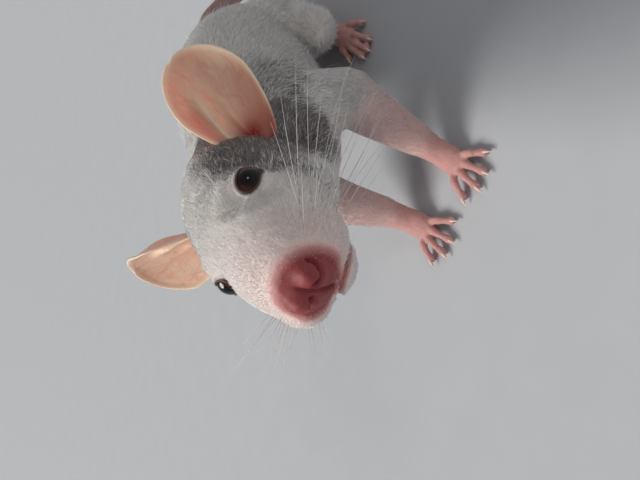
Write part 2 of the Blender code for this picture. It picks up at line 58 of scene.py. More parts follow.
def unit(vector):
    """Directions made one long."""
    vector = np.asarray(vector, float)
    return vector / np.maximum(np.linalg.norm(vector, axis=-1, keepdims=True), 1e-12)


def ease(low, high, value):
    """0 below low and 1 above high, with a smooth cubic step between them."""
    share = np.clip((value - low) / (high - low), 0, 1)
    return share * share * (3 - 2 * share)


def bell(*terms):
    """A bell curve: exp of minus the sum of ((value - middle) / width) squared over the terms."""
    return np.exp(-sum(((value - middle) / width) ** 2 for value, middle, width in terms))


def turned(angle, first, second):
    """Directions at an angle from the first towards the second."""
    return first * np.cos(angle)[..., None] + second * np.sin(angle)[..., None]


def mirrored(rows, side):
    """Places given for the left, with any radius after them, on the side whose sign is given."""
    rows = np.asarray(rows, float)
    return rows * np.array([side, 1.0, 1.0, 1.0])[: rows.shape[-1]]


# Measures that the solids were made from, in millimetres.
HEAD_AT = np.array([0.0, -55.0, 66.0])
HEAD_TURN = math.radians(9.5)
HEAD_LIFT = math.radians(15.5)
EYE_AT = np.array([9.1, -21.4, 3.5])
EYE_LOOK = unit([0.87, -0.34, 0.35])
EYE_RADIUS = 3.2
EAR_ROOTS = {1: (10.4, 2.4, -4.2), -1: (7.4, 4.0, 1.2)}
EAR_RISE = {1: (0.55, 0.12, 0.82), -1: (0.75, 0.15, 0.64)}
EAR_FACING = {1: (0.29, -0.94, 0.17), -1: (0.42, -0.91, 0.08)}
EAR_OPENING = {1: (14.4, 1.2, -2.0), -1: (14.0, 2.0, 1.0)}
EAR_LENGTH = 26.9
EAR_ARC = 20.8
EAR_BOW = 3.0
NOSE_TIP = np.array([0.0, -47.0, -3.5])
MOUTH_LINE = ((5.8, -27.5, -13.0), (4.6, -32.6, -12.4), (2.6, -36.4, -11.4), (0.0, -37.8, -11.0))
NOSTRIL = ((1.55, -42.2, -4.6), (2.3, -41.8, -4.9), (3.1, -41.0, -4.4), (3.7, -40.2, -3.2))
LIP_CLEFT = ((0.0, -41.8, -6.4), (0.0, -40.8, -8.8), (0.0, -38.4, -10.8))
TRUNK = np.array([
    (-1.2, -57.0, 64.0, 12.0),
    (-0.8, -47.0, 59.0, 14.4),
    (0.0, -37.0, 52.0, 17.2),
    (0.0, -24.0, 46.5, 19.6),
    (0.0, -8.0, 41.3, 21.3),
    (0.0, 10.0, 36.4, 22.9),
    (0.0, 27.0, 31.0, 23.0),
    (0.0, 41.0, 25.2, 20.0),
    (0.0, 51.0, 20.4, 15.0),
    (0.0, 58.0, 18.2, 8.4),
    (0.0, 66.0, 19.6, 5.0),
])
# Rows of limbs and feet are x, y, z and radius.
FORELEG = (
    (12.0, -26.0, 42.0, 11.0),
    (15.6, -24.0, 25.5, 7.8),
    (13.4, -34.0, 15.5, 5.6),
    (11.6, -40.4, 8.2, 4.2),
    (10.9, -48.0, 2.4, 4.2),
    (11.0, -58.0, 1.4, 4.4),
)
HAUNCH = ((18.0, 20.0, 24.0, 13.0), (18.0, 40.0, 18.0, 13.0))
SHANK = ((23.5, 10.0, 17.0, 8.5), (23.0, 24.0, 13.0, 6.6), (22.0, 34.0, 10.5, 5.4), (20.5, 44.0, 7.5, 4.6))
FOOT = ((20.5, 47.0, 5.0, 4.4), (21.6, 31.0, 3.0, 4.0), (23.2, 8.0, 1.6, 5.0))
PALM = ((11.7, -39.6, 9.6, 3.7), (11.2, -44.4, 4.6, 3.6), (10.9, -47.6, 2.9, 3.8), (10.8, -50.4, 2.0, 3.5))
# Each digit: x of its knuckle, x of its tip, how far it reaches forwards, and y of its knuckle.
FINGERS = ((7.7, 3.9, 6.2, -50.4), (9.8, 8.6, 8.6, -50.4), (11.8, 13.0, 8.4, -50.4), (13.5, 17.2, 5.8, -50.4))
WRIST = ((14.0, -31.6, 18.4, 6.1), (13.1, -35.4, 13.6, 5.3), (12.2, -38.8, 9.8, 4.5), (11.4, -42.6, 6.0, 3.7))
SOLE = (
    (20.4, 47.0, 5.6, 3.6),
    (20.8, 40.0, 3.6, 3.6),
    (21.6, 31.0, 3.0, 3.3),
    (22.6, 23.0, 2.4, 3.9),
    (23.2, 18.0, 1.9, 3.9),
)
TOES = (
    (19.9, 17.4, 5.5, 20.5),
    (21.6, 20.6, 9.0, 17.5),
    (23.3, 23.4, 9.8, 17.0),
    (25.0, 26.4, 9.2, 17.5),
    (26.5, 29.6, 5.8, 21.0),
)
TAIL_PATH = (
    (0.0, 52.0, 18.6),
    (0.0, 60.5, 18.4),
    (-2.0, 70.0, 22.0),
    (-2.6, 80.0, 25.0),
    (3.4, 88.5, 23.0),
    (13.5, 90.0, 16.0),
    (25.5, 85.0, 9.0),
    (38.5, 76.0, 4.6),
    (51.0, 64.0, 2.4),
    (61.0, 48.0, 0.0),
    (66.5, 29.0, 0.0),
    (68.0, 9.0, 0.0),
    (66.5, -10.0, 0.0),
)
FLESH = ["head", "neck", "torso", "fore_leg_left", "fore_leg_right", "hind_leg_left", "hind_leg_right"]
PAWS = ["fore_paw_left", "fore_paw_right", "hind_foot_left", "hind_foot_right"]

HEAD_LEFT = np.array([math.cos(HEAD_TURN), math.sin(HEAD_TURN), 0.0])
HEAD_BACK = np.array([-math.sin(HEAD_TURN), math.cos(HEAD_TURN), 0.0])
HEAD_AXES = np.array([
    HEAD_LEFT,
    math.cos(HEAD_LIFT) * HEAD_BACK - math.sin(HEAD_LIFT) * UP,
    math.sin(HEAD_LIFT) * HEAD_BACK + math.cos(HEAD_LIFT) * UP,
])


def from_head(points):
    """Points of the head's frame in the model's: lifted about x, turned to the left, then placed."""
    return np.asarray(points, float) @ HEAD_AXES + HEAD_AT


def to_head(points):
    """Points of the model's frame in the head's."""
    return (np.asarray(points, float) - HEAD_AT) @ HEAD_AXES.T


EYE_LOW, EYE_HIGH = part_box("eye_left")
SHIFT = (np.array(EYE_LOW) + np.array(EYE_HIGH)) / 2 / MM - from_head(EYE_AT)


# Shapes as arrays of points and of triangles.


def curve_through(rows, count):
    """A smooth cubic curve through rows of numbers, read at evenly spaced places along its length.

    Between two rows it leaves and arrives with half the step from the row before to the row after each.
    """
    rows = np.asarray(rows, float)
    ends = np.vstack([2 * rows[0] - rows[1], rows, 2 * rows[-1] - rows[-2]])
    at = np.linspace(0, len(rows) - 1, 40 * len(rows))
    k = np.minimum(at.astype(int), len(rows) - 2)
    t = (at - k)[:, None]
    a, b, c, d = (ends[k + i] for i in range(4))
    fine = b + 0.5 * ((c - a) * t + (2 * a - 5 * b + 4 * c - d) * t**2 + (3 * b - a - 3 * c + d) * t**3)
    step = np.linalg.norm(np.diff(fine[:, :3], axis=0), axis=1)
    length = np.concatenate([[0.0], np.cumsum(step)])
    even = np.linspace(0, length[-1], count)
    return np.stack([np.interp(even, length, column) for column in fine.T], 1)


def tube(path, wide, high=None, sides=16, upward=(0.0, 0.0, 1.0), domes=(4, 4)):
    """Elliptical rings square to a path, half as wide as wide and half as high as high, with round ends."""
    path = np.asarray(path, float)
    wide = np.asarray(wide, float) * np.ones(len(path))
    high = wide if high is None else np.asarray(high, float) * np.ones(len(path))
    run = unit(np.gradient(path, axis=0))
    for end, count in enumerate(domes):
        lean = np.radians(90.0) * np.arange(1, count + 1) / (count + 0.4)
        lean = lean if end else lean[::-1]
        at = -end
        reach = path[at] + (2 * end - 1) * run[at] * (wide[at] * np.sin(lean))[:, None]
        pairs = [(reach, path), (wide[at] * np.cos(lean), wide), (high[at] * np.cos(lean), high)]
        pairs.append((np.repeat(run[at : at + 1 or None], count, 0), run))
        path, wide, high, run = (np.concatenate(pair[::-1] if end else pair) for pair in pairs)
    across = unit(np.cross(np.broadcast_to(upward, run.shape), run))
    up = np.cross(run, across)
    angle = circle(sides)
    flat = across[:, None] * (wide[:, None] * np.cos(angle))[..., None]
    return path[:, None] + flat + up[:, None] * (high[:, None] * np.sin(angle))[..., None]


def strip(a, b, c, d):
    """Two triangles for each four-sided patch whose opposite edges run from a to b and from c to d."""
    return np.concatenate([np.stack(corners, -1).reshape(-1, 3) for corners in ((a, c, d), (a, d, b))])


def circle(count):
    """Evenly spaced angles all round."""
    return np.arange(count) * 2 * math.pi / count


def ring_numbers(sides):
    """The numbers of a ring's points, and for each the number of the next."""
    j = np.arange(sides)
    return j, (j + 1) % sides


def loft(rings):
    """A closed surface through rings: two triangles between neighbours and a fan over each end."""
    count, sides = rings.shape[:2]
    points = np.concatenate([rings.reshape(-1, 3), rings[:1].mean(1), rings[-1:].mean(1)])
    row = np.arange(count - 1)[:, None] * sides
    j, ahead = ring_numbers(sides)
    last, end = (count - 1) * sides, np.full(sides, count * sides)
    fans = [np.stack([end, ahead, j], 1), np.stack([end + 1, last + j, last + ahead], 1)]
    return points, np.concatenate([strip(row + j, row + sides + j, row + ahead, row + sides + ahead), *fans])


def closed_ring(rings):
    """A closed tube whose last ring joins its first."""
    count, sides = rings.shape[:2]
    row = np.arange(count)[:, None] * sides
    after = np.roll(row, -1, 0)
    j, ahead = ring_numbers(sides)
    return rings.reshape(-1, 3), strip(row + j, after + j, row + ahead, after + ahead)


def joined(shapes):
    """Several shapes as one: their points one after another, their triangles renumbered to match."""
    start = np.cumsum([0] + [len(points) for points, _ in shapes[:-1]])
    points = np.concatenate([points for points, _ in shapes])
    return points, np.concatenate([faces + first for (_, faces), first in zip(shapes, start)])


def ball(centre, radii):
    """An ellipsoid of the head's frame, in the model's."""
    rings, sides = 16, 24
    polar = np.linspace(0, math.pi, rings + 2)[1:-1, None]
    around = circle(sides)[None]
    x = radii[0] * np.sin(polar) * np.cos(around)
    z = radii[2] * np.sin(polar) * np.sin(around)
    y = np.broadcast_to(-radii[1] * np.cos(polar), x.shape)
    points, faces = loft(np.stack([x, y, z], -1) + np.asarray(centre, float))
    return from_head(points), faces[:, ::-1]


def facing_out(points, faces):
    """The faces of a closed surface, turned over if they face inwards."""
    a, b, c = (points[faces[:, k]] for k in range(3))
    return faces if (a * np.cross(b, c)).sum() > 0 else faces[:, ::-1]


def surface_normals(points, faces):
    """At each point, the mean of its faces' normals, weighted by their areas, for triangles or quads."""
    sides = faces.shape[1]
    a, b, c, d = (points[faces[:, k % sides]] for k in range(4))
    spread = np.repeat(np.cross(c - a, d - b), sides, 0)
    return unit(np.stack([np.bincount(faces.ravel(), axis, len(points)) for axis in spread.T], 1))


def relaxed(points, faces, weight, rounds, back=0.515):
    """Each round moves points half way to the mean of their neighbours, then about as far back again."""
    here = faces.ravel()
    there = np.roll(faces, -1, axis=1).ravel()
    here, there = np.concatenate([here, there]), np.concatenate([there, here])
    near = np.bincount(here, minlength=len(points))[:, None]
    for turn in range(2 * rounds):
        mean = np.stack([np.bincount(here, axis[there], len(points)) for axis in points.T], 1) / near
        points = points + (0.5 if turn % 2 == 0 else -back) * weight[:, None] * (mean - points)
    return points


def largest_part(points, faces):
    """Keeps the connected surface with the most points."""
    label = np.arange(len(points))
    while True:
        low = np.repeat(label[faces].min(1), faces.shape[1])
        fresh = label.copy()
        np.minimum.at(fresh, faces.ravel(), low)
        fresh = fresh[fresh]
        if (fresh == label).all():
            break
        label = fresh
    kept = label == np.bincount(label).argmax()
    number = np.cumsum(kept) - 1
    return points[kept], number[faces[kept[faces].all(1)]]


def drift(points, size, seed):
    """Smooth values from -1 to 1: seeded numbers at the corners of cubes of a size, eased between them."""
    cell = np.asarray(points, float) / size + seed * 7.31
    base = np.floor(cell)
    part = cell - base
    part = part * part * (3 - 2 * part)
    total = np.zeros(len(cell))
    for corner in np.ndindex(2, 2, 2):
        number = np.sin((base + corner) @ np.array([127.1, 311.7, 74.7])) * 43758.5453
        weight = np.where(corner, part, 1 - part).prod(-1)
        total += weight * (number - np.floor(number))
    return 2 * total - 1


# Finishes. Each is a Principled shader whose colour, roughness and bump come from nodes.


class Finish:
    """A material under construction: short calls that add a node and link what drives it."""

    def __init__(self, name, **sockets):
        self.material = bpy.data.materials.new(name)
        self.material.use_nodes = True
        self.tree = self.material.node_tree
        self.shader = self.tree.nodes["Principled BSDF"]
        for socket, value in sockets.items():
            self.shader.inputs[socket.replace("_", " ")].default_value = value

    def node(self, kind, values=None, **settings):
        """A new node with its settings, and with each socket linked to a socket or set to a value."""
        made = self.tree.nodes.new("ShaderNode" + kind)
        for key, value in settings.items():
            setattr(made, key, value)
        for socket, value in (values or {}).items():
            if isinstance(value, bpy.types.NodeSocket):
                self.tree.links.new(value, made.inputs[socket])
            else:
                made.inputs[socket].default_value = value
        return made

    def place(self, scale=1.0):
        """Object coordinates in millimetres, stretched by a scale, one number or three."""
        source = self.node("TexCoord").outputs["Object"]
        stretch = Vector(np.ones(3) * np.asarray(scale) / MM)
        return self.node("Mapping", {"Vector": source, "Scale": stretch}).outputs["Vector"]

    def map_place(self, scale=(1.0, 1.0, 1.0)):
        """Places on the mesh's own map, stretched by a scale."""
        source = self.node("UVMap", uv_map="Along").outputs["UV"]
        return self.node("Mapping", {"Vector": source, "Scale": Vector(scale)}).outputs["Vector"]

    def noise(self, place, scale, detail=3.0, roughness=0.55):
        """Smooth noise from 0 to 1."""
        values = {"Vector": place, "Scale": scale, "Detail": detail, "Roughness": roughness}
        return self.node("TexNoise", values).outputs["Fac"]

    def cells(self, place, scale, randomness=1.0):
        """How far a place is from the edges between scattered cells."""
        values = {"Vector": place, "Scale": scale, "Randomness": randomness}
        return self.node("TexVoronoi", values, feature="DISTANCE_TO_EDGE").outputs["Distance"]

    def range(self, value, low, high, to_low=0.0, to_high=1.0):
        """A value from low to high, taken evenly onto to_low to to_high, and held there outside."""
        values = {"Value": value, "From Min": low, "From Max": high, "To Min": to_low, "To Max": to_high}
        return self.node("MapRange", values).outputs["Result"]

    def product(self, a, b):
        """Two values multiplied."""
        return self.node("Math", {0: a, 1: b}, operation="MULTIPLY").outputs[0]

    def blend(self, share, *colours, mode="MIX"):
        """The first colour at share 0, the second at 1. A colour is a socket, or red, green and blue."""
        a, b = (c if isinstance(c, bpy.types.NodeSocket) else (*c, 1.0) for c in colours)
        return self.node("Mix", {0: share, 6: a, 7: b}, data_type="RGBA", blend_type=mode).outputs[2]

    def parts(self, name):
        """Red, green, blue and alpha of a colour attribute of the mesh."""
        source = self.node("Attribute", attribute_name=name).outputs
        return (*self.node("SeparateColor", {"Color": source["Color"]}).outputs, source["Alpha"])

    def bump(self, height, depth, strength=1.0, under=None):
        """A normal bent by a height, depth millimetres high, over another bump."""
        values = {"Height": height, "Distance": depth * MM, "Strength": strength}
        values |= {"Normal": under} if under else {}
        return self.node("Bump", values).outputs["Normal"]

    def made(self, colour, rough, normal=None):
        """The material, its shader's colour, roughness and normal driven by these."""
        for socket, source in (("Base Color", colour), ("Roughness", rough), ("Normal", normal)):
            if source:
                self.tree.links.new(source, self.shader.inputs[socket])
        return self.material


def skin_finish():
    """Pink skin, greyer under the hood, redder at nose and lips, wrinkled and creased where it is bare. The
    nose's deep red middle is partly its own colour and partly painted shade; the darker red in the creases is
    painted shade.
    """
    make = Finish("rat_skin", Subsurface_Weight=0.12, Subsurface_Scale=0.0012, Specular_IOR_Level=0.35,
                  Subsurface_Radius=(1.0, 0.35, 0.25))
    grey, flush, bare = make.parts("tone")[:3]
    place = make.place()
    mottle = make.noise(place, 0.5, 4.0)
    fine = make.noise(place, 2.6, 3.0)
    hair = make.noise(make.place((7.0, 1.7, 6.0)), 1.0, 4.0)
    white = make.blend(hair, (0.85, 0.72, 0.67), (0.93, 0.87, 0.83))
    dark = make.blend(hair, (0.13, 0.098, 0.09), (0.27, 0.215, 0.195))
    paw = make.blend(mottle, (0.70, 0.36, 0.33), (0.80, 0.50, 0.46))
    # The deep red for the nose's middle is partly the nose's own colour and partly painted shade under the
    # nose.
    red = make.blend(fine, (0.21, 0.026, 0.031), (0.36, 0.068, 0.070))
    colour = make.blend(grey, white, dark)
    colour = make.blend(bare, colour, paw)
    colour = make.blend(make.range(flush, 0.0, 0.5), colour, (0.72, 0.36, 0.33))
    colour = make.blend(make.range(flush, 0.4, 0.9), colour, red)
    crease = make.range(make.cells(make.place((1.0, 1.6, 1.3)), 1.9), 0.0, 0.22)
    bumps = make.bump(make.noise(place, 5.5, 4.0), 0.05, 0.6, make.bump(hair, 0.12, 0.5))
    bumps = make.bump(crease, 0.09, bare, bumps)
    # Painted shade: bare skin turns darker and redder along the creases.
    colour = make.blend(make.product(make.range(crease, 1.0, 0.0), bare), colour, (0.66, 0.30, 0.27))
    return make.made(colour, make.range(fine, 0.3, 0.7, 0.42, 0.62), bumps)


def coat_finish():
    """White and grey hair: warmer and darker at the root, clear at the tip, no two tufts quite alike."""
    make = Finish("rat_coat", Specular_IOR_Level=0.3, Sheen_Weight=0.15, Sheen_Roughness=0.5)
    grey, random, share, pink = make.parts("lock")
    patch = make.noise(make.place(), 0.35, 2.0)
    white_root = make.blend(random, (0.92, 0.875, 0.84), (0.95, 0.925, 0.90))
    white_tip = make.blend(random, (0.97, 0.955, 0.935), (1.0, 0.995, 0.98))
    white = make.blend(share, white_root, white_tip)
    yellowed = make.range(patch, 0.35, 0.75, 0.0, 0.25)
    white = make.blend(yellowed, white, (0.90, 0.83, 0.77), mode="MULTIPLY")
    grey_root = make.blend(random, (0.056, 0.042, 0.039), (0.098, 0.076, 0.070))
    grey_tip = make.blend(random, (0.115, 0.088, 0.079), (0.24, 0.192, 0.169))
    dark = make.blend(share, grey_root, grey_tip)
    colour = make.blend(pink, white, make.blend(share, (0.66, 0.27, 0.26), (0.80, 0.46, 0.43)))
    colour = make.blend(grey, colour, dark)
    fine = make.noise(make.place((6.0, 2.0, 6.0)), 3.0, 2.0)
    return make.made(colour, make.range(fine, 0.3, 0.7, 0.5, 0.7), make.bump(fine, 0.02, 0.4))


def ear_finish():
    """Thin peach skin with forked veins: lighter at the rim with a painted highlight on the ridges, painted
    shade in the trough and flap, and a dark red cup that is partly its own red and partly painted shade.
    """
    make = Finish("rat_ear_skin", Subsurface_Weight=0.5, Subsurface_Scale=0.0016, Specular_IOR_Level=0.3,
                  Subsurface_Radius=(1.0, 0.40, 0.22))
    root, fold_shade, rim = make.parts("tone")[:3]
    place = make.place()
    warp = make.node("TexNoise", {"Vector": place, "Scale": 0.22, "Detail": 3.0}).outputs["Color"]
    warp = make.node("VectorMath", {0: warp, "Scale": 0.16}, operation="SCALE").outputs[0]
    bent = make.node("VectorMath", {0: make.map_place(), 1: warp}, operation="ADD").outputs[0]
    cloud = make.noise(place, 0.13, 3.0)
    colour = make.blend(make.range(cloud, 0.3, 0.7), (0.86, 0.50, 0.36), (0.93, 0.65, 0.485))
    thin = make.product(make.range(cloud, 0.35, 0.65, 0.5, 1.0), make.range(rim, 0.0, 0.6, 1.0, 0.0))
    for scale, width, strength in ((3.0, 0.10, 0.30), (7.0, 0.13, 0.20), (15.0, 0.16, 0.10)):
        vein = make.range(make.cells(bent, scale, 0.9), 0.0, width, strength, 0.0)
        colour = make.blend(make.product(vein, thin), colour, (0.70, 0.24, 0.18))
    # Painted shade in the trough and the turned-in flap, darker toward the root.
    colour = make.blend(fold_shade, colour, (0.76, 0.35, 0.27))
    # Lighter at the rim, with a painted highlight along the ridges.
    colour = make.blend(rim, colour, (0.97, 0.69, 0.53))
    # Dark red cup: partly the skin's own red, partly painted shade in the hollow.
    colour = make.blend(root, colour, (0.44, 0.065, 0.045))
    skin = make.noise(place, 3.2, 5.0, 0.65)
    bumps = make.bump(make.noise(place, 0.55, 2.0), 0.25, 0.4, make.bump(skin, 0.06, 0.5))
    return make.made(colour, make.range(skin, 0.3, 0.7, 0.42, 0.62), bumps)


def eye_finish():
    """A near-black eye: its pupil fills most of it, and a narrow iris glows ruby at the front corner."""
    make = Finish("rat_eye", Coat_Weight=0.55, Coat_Roughness=0.03, Coat_IOR=1.34, Specular_IOR_Level=0.15)
    ring, corner, _ = make.parts("tone")[:3]
    streak = make.noise(make.place(), 3.0, 5.0, 0.7)
    iris = make.blend(streak, (0.009, 0.004, 0.003), (0.026, 0.009, 0.007))
    ruby = make.blend(streak, (0.07, 0.016, 0.011), (0.17, 0.045, 0.028))
    iris = make.blend(corner, iris, ruby)
    colour = make.blend(make.range(ring, 0.50, 0.72), (0.004, 0.003, 0.003), iris)
    return make.made(colour, make.range(streak, 0.2, 0.8, 0.05, 0.12))


def lid_finish():
    """The moist dark margin of the lids."""
    make = Finish("rat_lid_margin", Specular_IOR_Level=0.3)
    grain = make.noise(make.place(), 3.0, 4.0)
    colour = make.blend(grain, (0.045, 0.024, 0.021), (0.11, 0.06, 0.053))
    return make.made(colour, make.range(grain, 0, 1, 0.38, 0.55), make.bump(grain, 0.06))


def claw_finish():
    """Pale horn with a pink quick showing through at the root, and faint growth lines."""
    make = Finish("rat_claw", Subsurface_Weight=0.3, Subsurface_Scale=0.0005, Specular_IOR_Level=0.5)
    root = make.parts("tone")[0]
    grain = make.noise(make.place((6.0, 1.2, 6.0)), 2.0, 3.0)
    colour = make.blend(root, (0.90, 0.80, 0.70), (0.80, 0.44, 0.38))
    colour = make.blend(make.range(grain, 0.4, 0.7, 0.0, 0.5), colour, (0.78, 0.68, 0.58))
    return make.made(colour, make.range(grain, 0, 1, 0.2, 0.4), make.bump(grain, 0.03))


def tail_finish():
    """Brownish pink skin in close rings of small scales, darker above and toward the rump."""
    make = Finish("rat_tail_skin", Subsurface_Weight=0.1, Subsurface_Scale=0.001, Specular_IOR_Level=0.4)
    dark = make.parts("tone")[0]
    bands = {"Vector": make.map_place(), "Scale": 90.0, "Distortion": 1.2, "Detail": 2.0, "Detail Scale": 1.5}
    rings = make.node("TexWave", bands, wave_type="BANDS", bands_direction="Y", wave_profile="SIN")
    rings = rings.outputs["Fac"]
    scales = make.range(make.cells(make.map_place((14.0, 285.0, 1.0)), 1.0, 0.55), 0.0, 0.25)
    mottle = make.noise(make.place(), 0.35, 4.0)
    colour = make.blend(mottle, (0.42, 0.245, 0.215), (0.56, 0.36, 0.315))
    colour = make.blend(dark, colour, (0.24, 0.155, 0.14))
    colour = make.blend(make.range(scales, 1.0, 0.0, 0.0, 0.5), colour, (0.20, 0.11, 0.10))
    colour = make.blend(make.range(rings, 0.0, 0.35, 0.35, 0.0), colour, (0.24, 0.13, 0.115))
    bumps = make.bump(scales, 0.06, 0.7, make.bump(rings, 0.12, 0.8))
    return make.made(colour, make.range(mottle, 0.3, 0.7, 0.42, 0.6), bumps)


def whisker_finish():
    """Stiff pale whiskers, a little darker toward the root."""
    make = Finish("rat_whisker", Specular_IOR_Level=0.5)
    _, random, share = make.parts("lock")[:3]
    grain = make.noise(make.place(), 1.2, 3.0)
    colour = make.blend(share, (0.62, 0.52, 0.47), (0.93, 0.92, 0.90))
    colour = make.blend(make.product(random, grain), colour, (0.80, 0.76, 0.72))
    return make.made(colour, make.range(grain, 0, 1, 0.25, 0.45))


def floor_finish():
    """Smooth pale floor, a little uneven in tone."""
    make = Finish("pale_floor", Specular_IOR_Level=0.2)
    grain = make.noise(make.place(), 0.08, 4.0)
    fine = make.noise(make.place(), 1.5, 4.0)
    colour = make.blend(grain, (0.46, 0.475, 0.50), (0.50, 0.515, 0.54))
    return make.made(colour, make.range(fine, 0, 1, 0.7, 0.9), make.bump(fine, 0.05, 0.5))


SKIN = skin_finish()
COAT = coat_finish()
EAR_SKIN = ear_finish()
EYE = eye_finish()
LID = lid_finish()
CLAW = claw_finish()
TAIL_SKIN = tail_finish()
WHISKER = whisker_finish()


LOWEST = 0.02


def add_piece(name, shape, finish, colours=None, maps=None, replaces=()):
    """A smooth mesh object in metres, with its point colours and its maps, riding on the body."""
    points, faces = shape[0].copy(), shape[1]
    points[:, 2] = np.maximum(points[:, 2], LOWEST)
    mesh = bpy.data.meshes.new(name)
    mesh.vertices.add(len(points))
    mesh.vertices.foreach_set("co", ((points + SHIFT) * MM).astype(np.float32).ravel())
    mesh.loops.add(3 * len(faces))
    mesh.loops.foreach_set("vertex_index", faces.astype(np.int32).ravel())
    mesh.polygons.add(len(faces))
    mesh.polygons.foreach_set("loop_start", np.arange(0, 3 * len(faces), 3, dtype=np.int32))
    mesh.update(calc_edges=True)
    mesh.shade_smooth()
    for key, rows in (colours or {}).items():
        rows = np.hstack([rows, np.ones((len(rows), 4 - rows.shape[1]))]).astype(np.float32)
        mesh.color_attributes.new(key, "FLOAT_COLOR", "POINT").data.foreach_set("color", rows.ravel())
    for key, rows in (maps or {}).items():
        corners = np.asarray(rows, np.float32)[faces.ravel()]
        mesh.uv_layers.new(name=key).data.foreach_set("uv", corners.ravel())
    mesh.materials.append(finish)
    piece = bpy.data.objects.new(name, mesh)
    bpy.context.scene.collection.objects.link(piece)
    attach(piece, "root")
    if replaces:
        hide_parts(*replaces)


# The body's parts: how near a point is to each, and what the coat does there.


def nearest(points, stations):
    """For the nearest place on a line of stations: distance over radius, share of length, run and offset."""
    line, radius = stations[:, :3], stations[:, 3]
    run = np.diff(line, axis=0)
    length = np.linalg.norm(run, axis=1)
    share = np.clip(((points[:, None] - line[:-1]) * run).sum(-1) / length**2, 0, 1)
    offset = points[:, None] - line[:-1] - share[..., None] * run
    gap = np.linalg.norm(offset, axis=-1) / (radius[:-1] + share * np.diff(radius))
    best = gap.argmin(1)
    rows = np.arange(len(points))
    part = share[rows, best][:, None]
    bend = unit(np.gradient(line, axis=0))
    start = np.concatenate([[0.0], np.cumsum(length)])
    along = (start[best] + part[:, 0] * length[best]) / start[-1]
    return gap[rows, best], along, unit(bend[best] * (1 - part) + bend[best + 1] * part), offset[rows, best]


def line_reach(points, line):
    """The distance from each point to a line, and the share of the line's length at the nearest place."""
    return nearest(points, np.column_stack([line, np.ones(len(line))]))[:2]


def reach_from(points, middle, radii=1.0):
    """Each point's distance from a middle, counted in radii."""
    return np.linalg.norm((points - np.asarray(middle)) / radii, axis=1)


HEAD_LINE = from_head([(0, -42, -5), (0, -30, -4), (0, -12, -2), (0, 8, -3)])
PARTS = {"head": np.column_stack([HEAD_LINE, (5, 10, 14, 14.5)]), "trunk": TRUNK[1:]}
LIMBS = {"foreleg": FORELEG, "haunch": HAUNCH, "shank": SHANK, "foot": FOOT}
for hand, word in HANDS:
    PARTS |= {f"{limb}_{word}": mirrored(stations, hand) for limb, stations in LIMBS.items()}


def throat(head):
    """1 where the coat stands fuller below the jaw, 0 elsewhere."""
    return ease(-7.0, -13.0, head[:, 2]) * ease(-33.0, -24.0, head[:, 1]) * ease(18.0, 8.0, head[:, 1])


def coat_plan(points, normals):
    """Length, thickness on the ground, lie and owning part of the coat at each point.

    Every part gives its own values from the share of its length, and a point takes their mean, weighted by
    exp(-7 gap) with the gap in radii, so one part's coat runs smoothly into the next.
    """
    found, ways = [], []
    head = to_head(points)
    for name, stations in PARTS.items():
        gap, share, run, out = nearest(points, stations)
        kind = name.split("_")[0]
        if kind == "head":
            run = unit(head - NOSE_TIP) @ HEAD_AXES
            reach = 0.7 + 2.3 * ease(0.05, 0.75, share) + 1.4 * throat(head)
            thick = 13.4
        elif kind == "trunk":
            run = run + np.array([0.0, 0.1, -0.55]) * np.abs(normals[:, :1])
            low = ease(-0.2, -0.9, normals[:, 2]) + ease(-6.0, -14.0, out[:, 2]) * ease(0.5, 0.2, share)
            reach = 4.2 + 2.4 * ease(0.1, 0.6, share) - 3.3 * ease(0.86, 1.0, share) - 1.3 * low.clip(0, 1)
            thick = 4.2
        elif kind == "foreleg":
            reach = 4.2 - 2.7 * ease(0.0, 0.5, share) - 0.7 * ease(0.55, 0.75, share)
            thick = 7.0 + 2.0 * ease(0.1, 0.5, share) - 5.5 * ease(0.55, 0.8, share)
        elif kind == "haunch":
            run = np.broadcast_to([0.0, 0.42, -0.9], run.shape)
            reach = 6.0
            thick = 4.2
        elif kind == "shank":
            reach = 4.2 - 2.2 * ease(0.3, 1.0, share)
            thick = 5.5
        else:
            reach = 1.5 - 0.7 * ease(0.0, 0.4, share)
            thick = 5.0 - 3.0 * ease(0.0, 0.3, share)
        found.append(np.broadcast_arrays(np.exp(-7 * gap), reach, thick, share))
        ways.append((unit(run), out))
    weight, length, density, along = np.array(found).swapaxes(0, 1)
    lie, offset = np.array(ways).swapaxes(0, 1)
    owner = weight.argmax(0)
    weight = weight / weight.sum(0)
    length = (weight * length).sum(0)
    density = (weight * density).sum(0)
    lie = (weight[..., None] * lie).sum(0)
    for side in (-1, 1):
        away = head - mirrored(EYE_AT, side)
        reach = np.linalg.norm(away, axis=1, keepdims=True)
        lie = lie + (unit(away) @ HEAD_AXES) * 1.2 * np.exp(-((reach - 3.5) / 1.6).clip(0))
        length = length * (0.24 + 0.76 * ease(3.6, 7.5, reach[:, 0]))
    nose = reach_from(head, (0.0, -41.5, -4.5), (5.0, 4.0, 4.8))
    length = length * (0.3 + 0.7 * ease(0.8, 2.0, nose))
    _, y, z = points.T
    curl = 0.15 + 0.85 * ease(-14.0, -26.0, y) * ease(-6.0, 4.0, head[:, 1]) * ease(16.0, 24.0, z)
    turn = 0.26 * drift(points, 7.0, 1) + 0.14 * drift(points, 2.5, 2) + 0.8 * curl * drift(points, 3.3, 15)
    for side in (-1, 1):
        cup = ear_cup(side)
        near = np.flatnonzero(reach_from(points, cup.mean(0)) < 14.0)
        gap = np.linalg.norm(points[near, None] - cup, axis=-1).min(1)
        length[near] *= 0.3 + 0.7 * ease(0.6, 4.0, gap)
        density[near] *= ease(0.75, 1.3, gap)
    lie = unit(lie - normals * (lie * normals).sum(1, keepdims=True))
    lie = unit(lie + np.cross(normals, lie) * turn[:, None])
    own = (owner, np.arange(len(points)))
    plan = {"length": length, "density": density, "lie": lie, "owner": owner, "nose": nose}
    return plan | {"along": along[own], "offset": offset[own]}


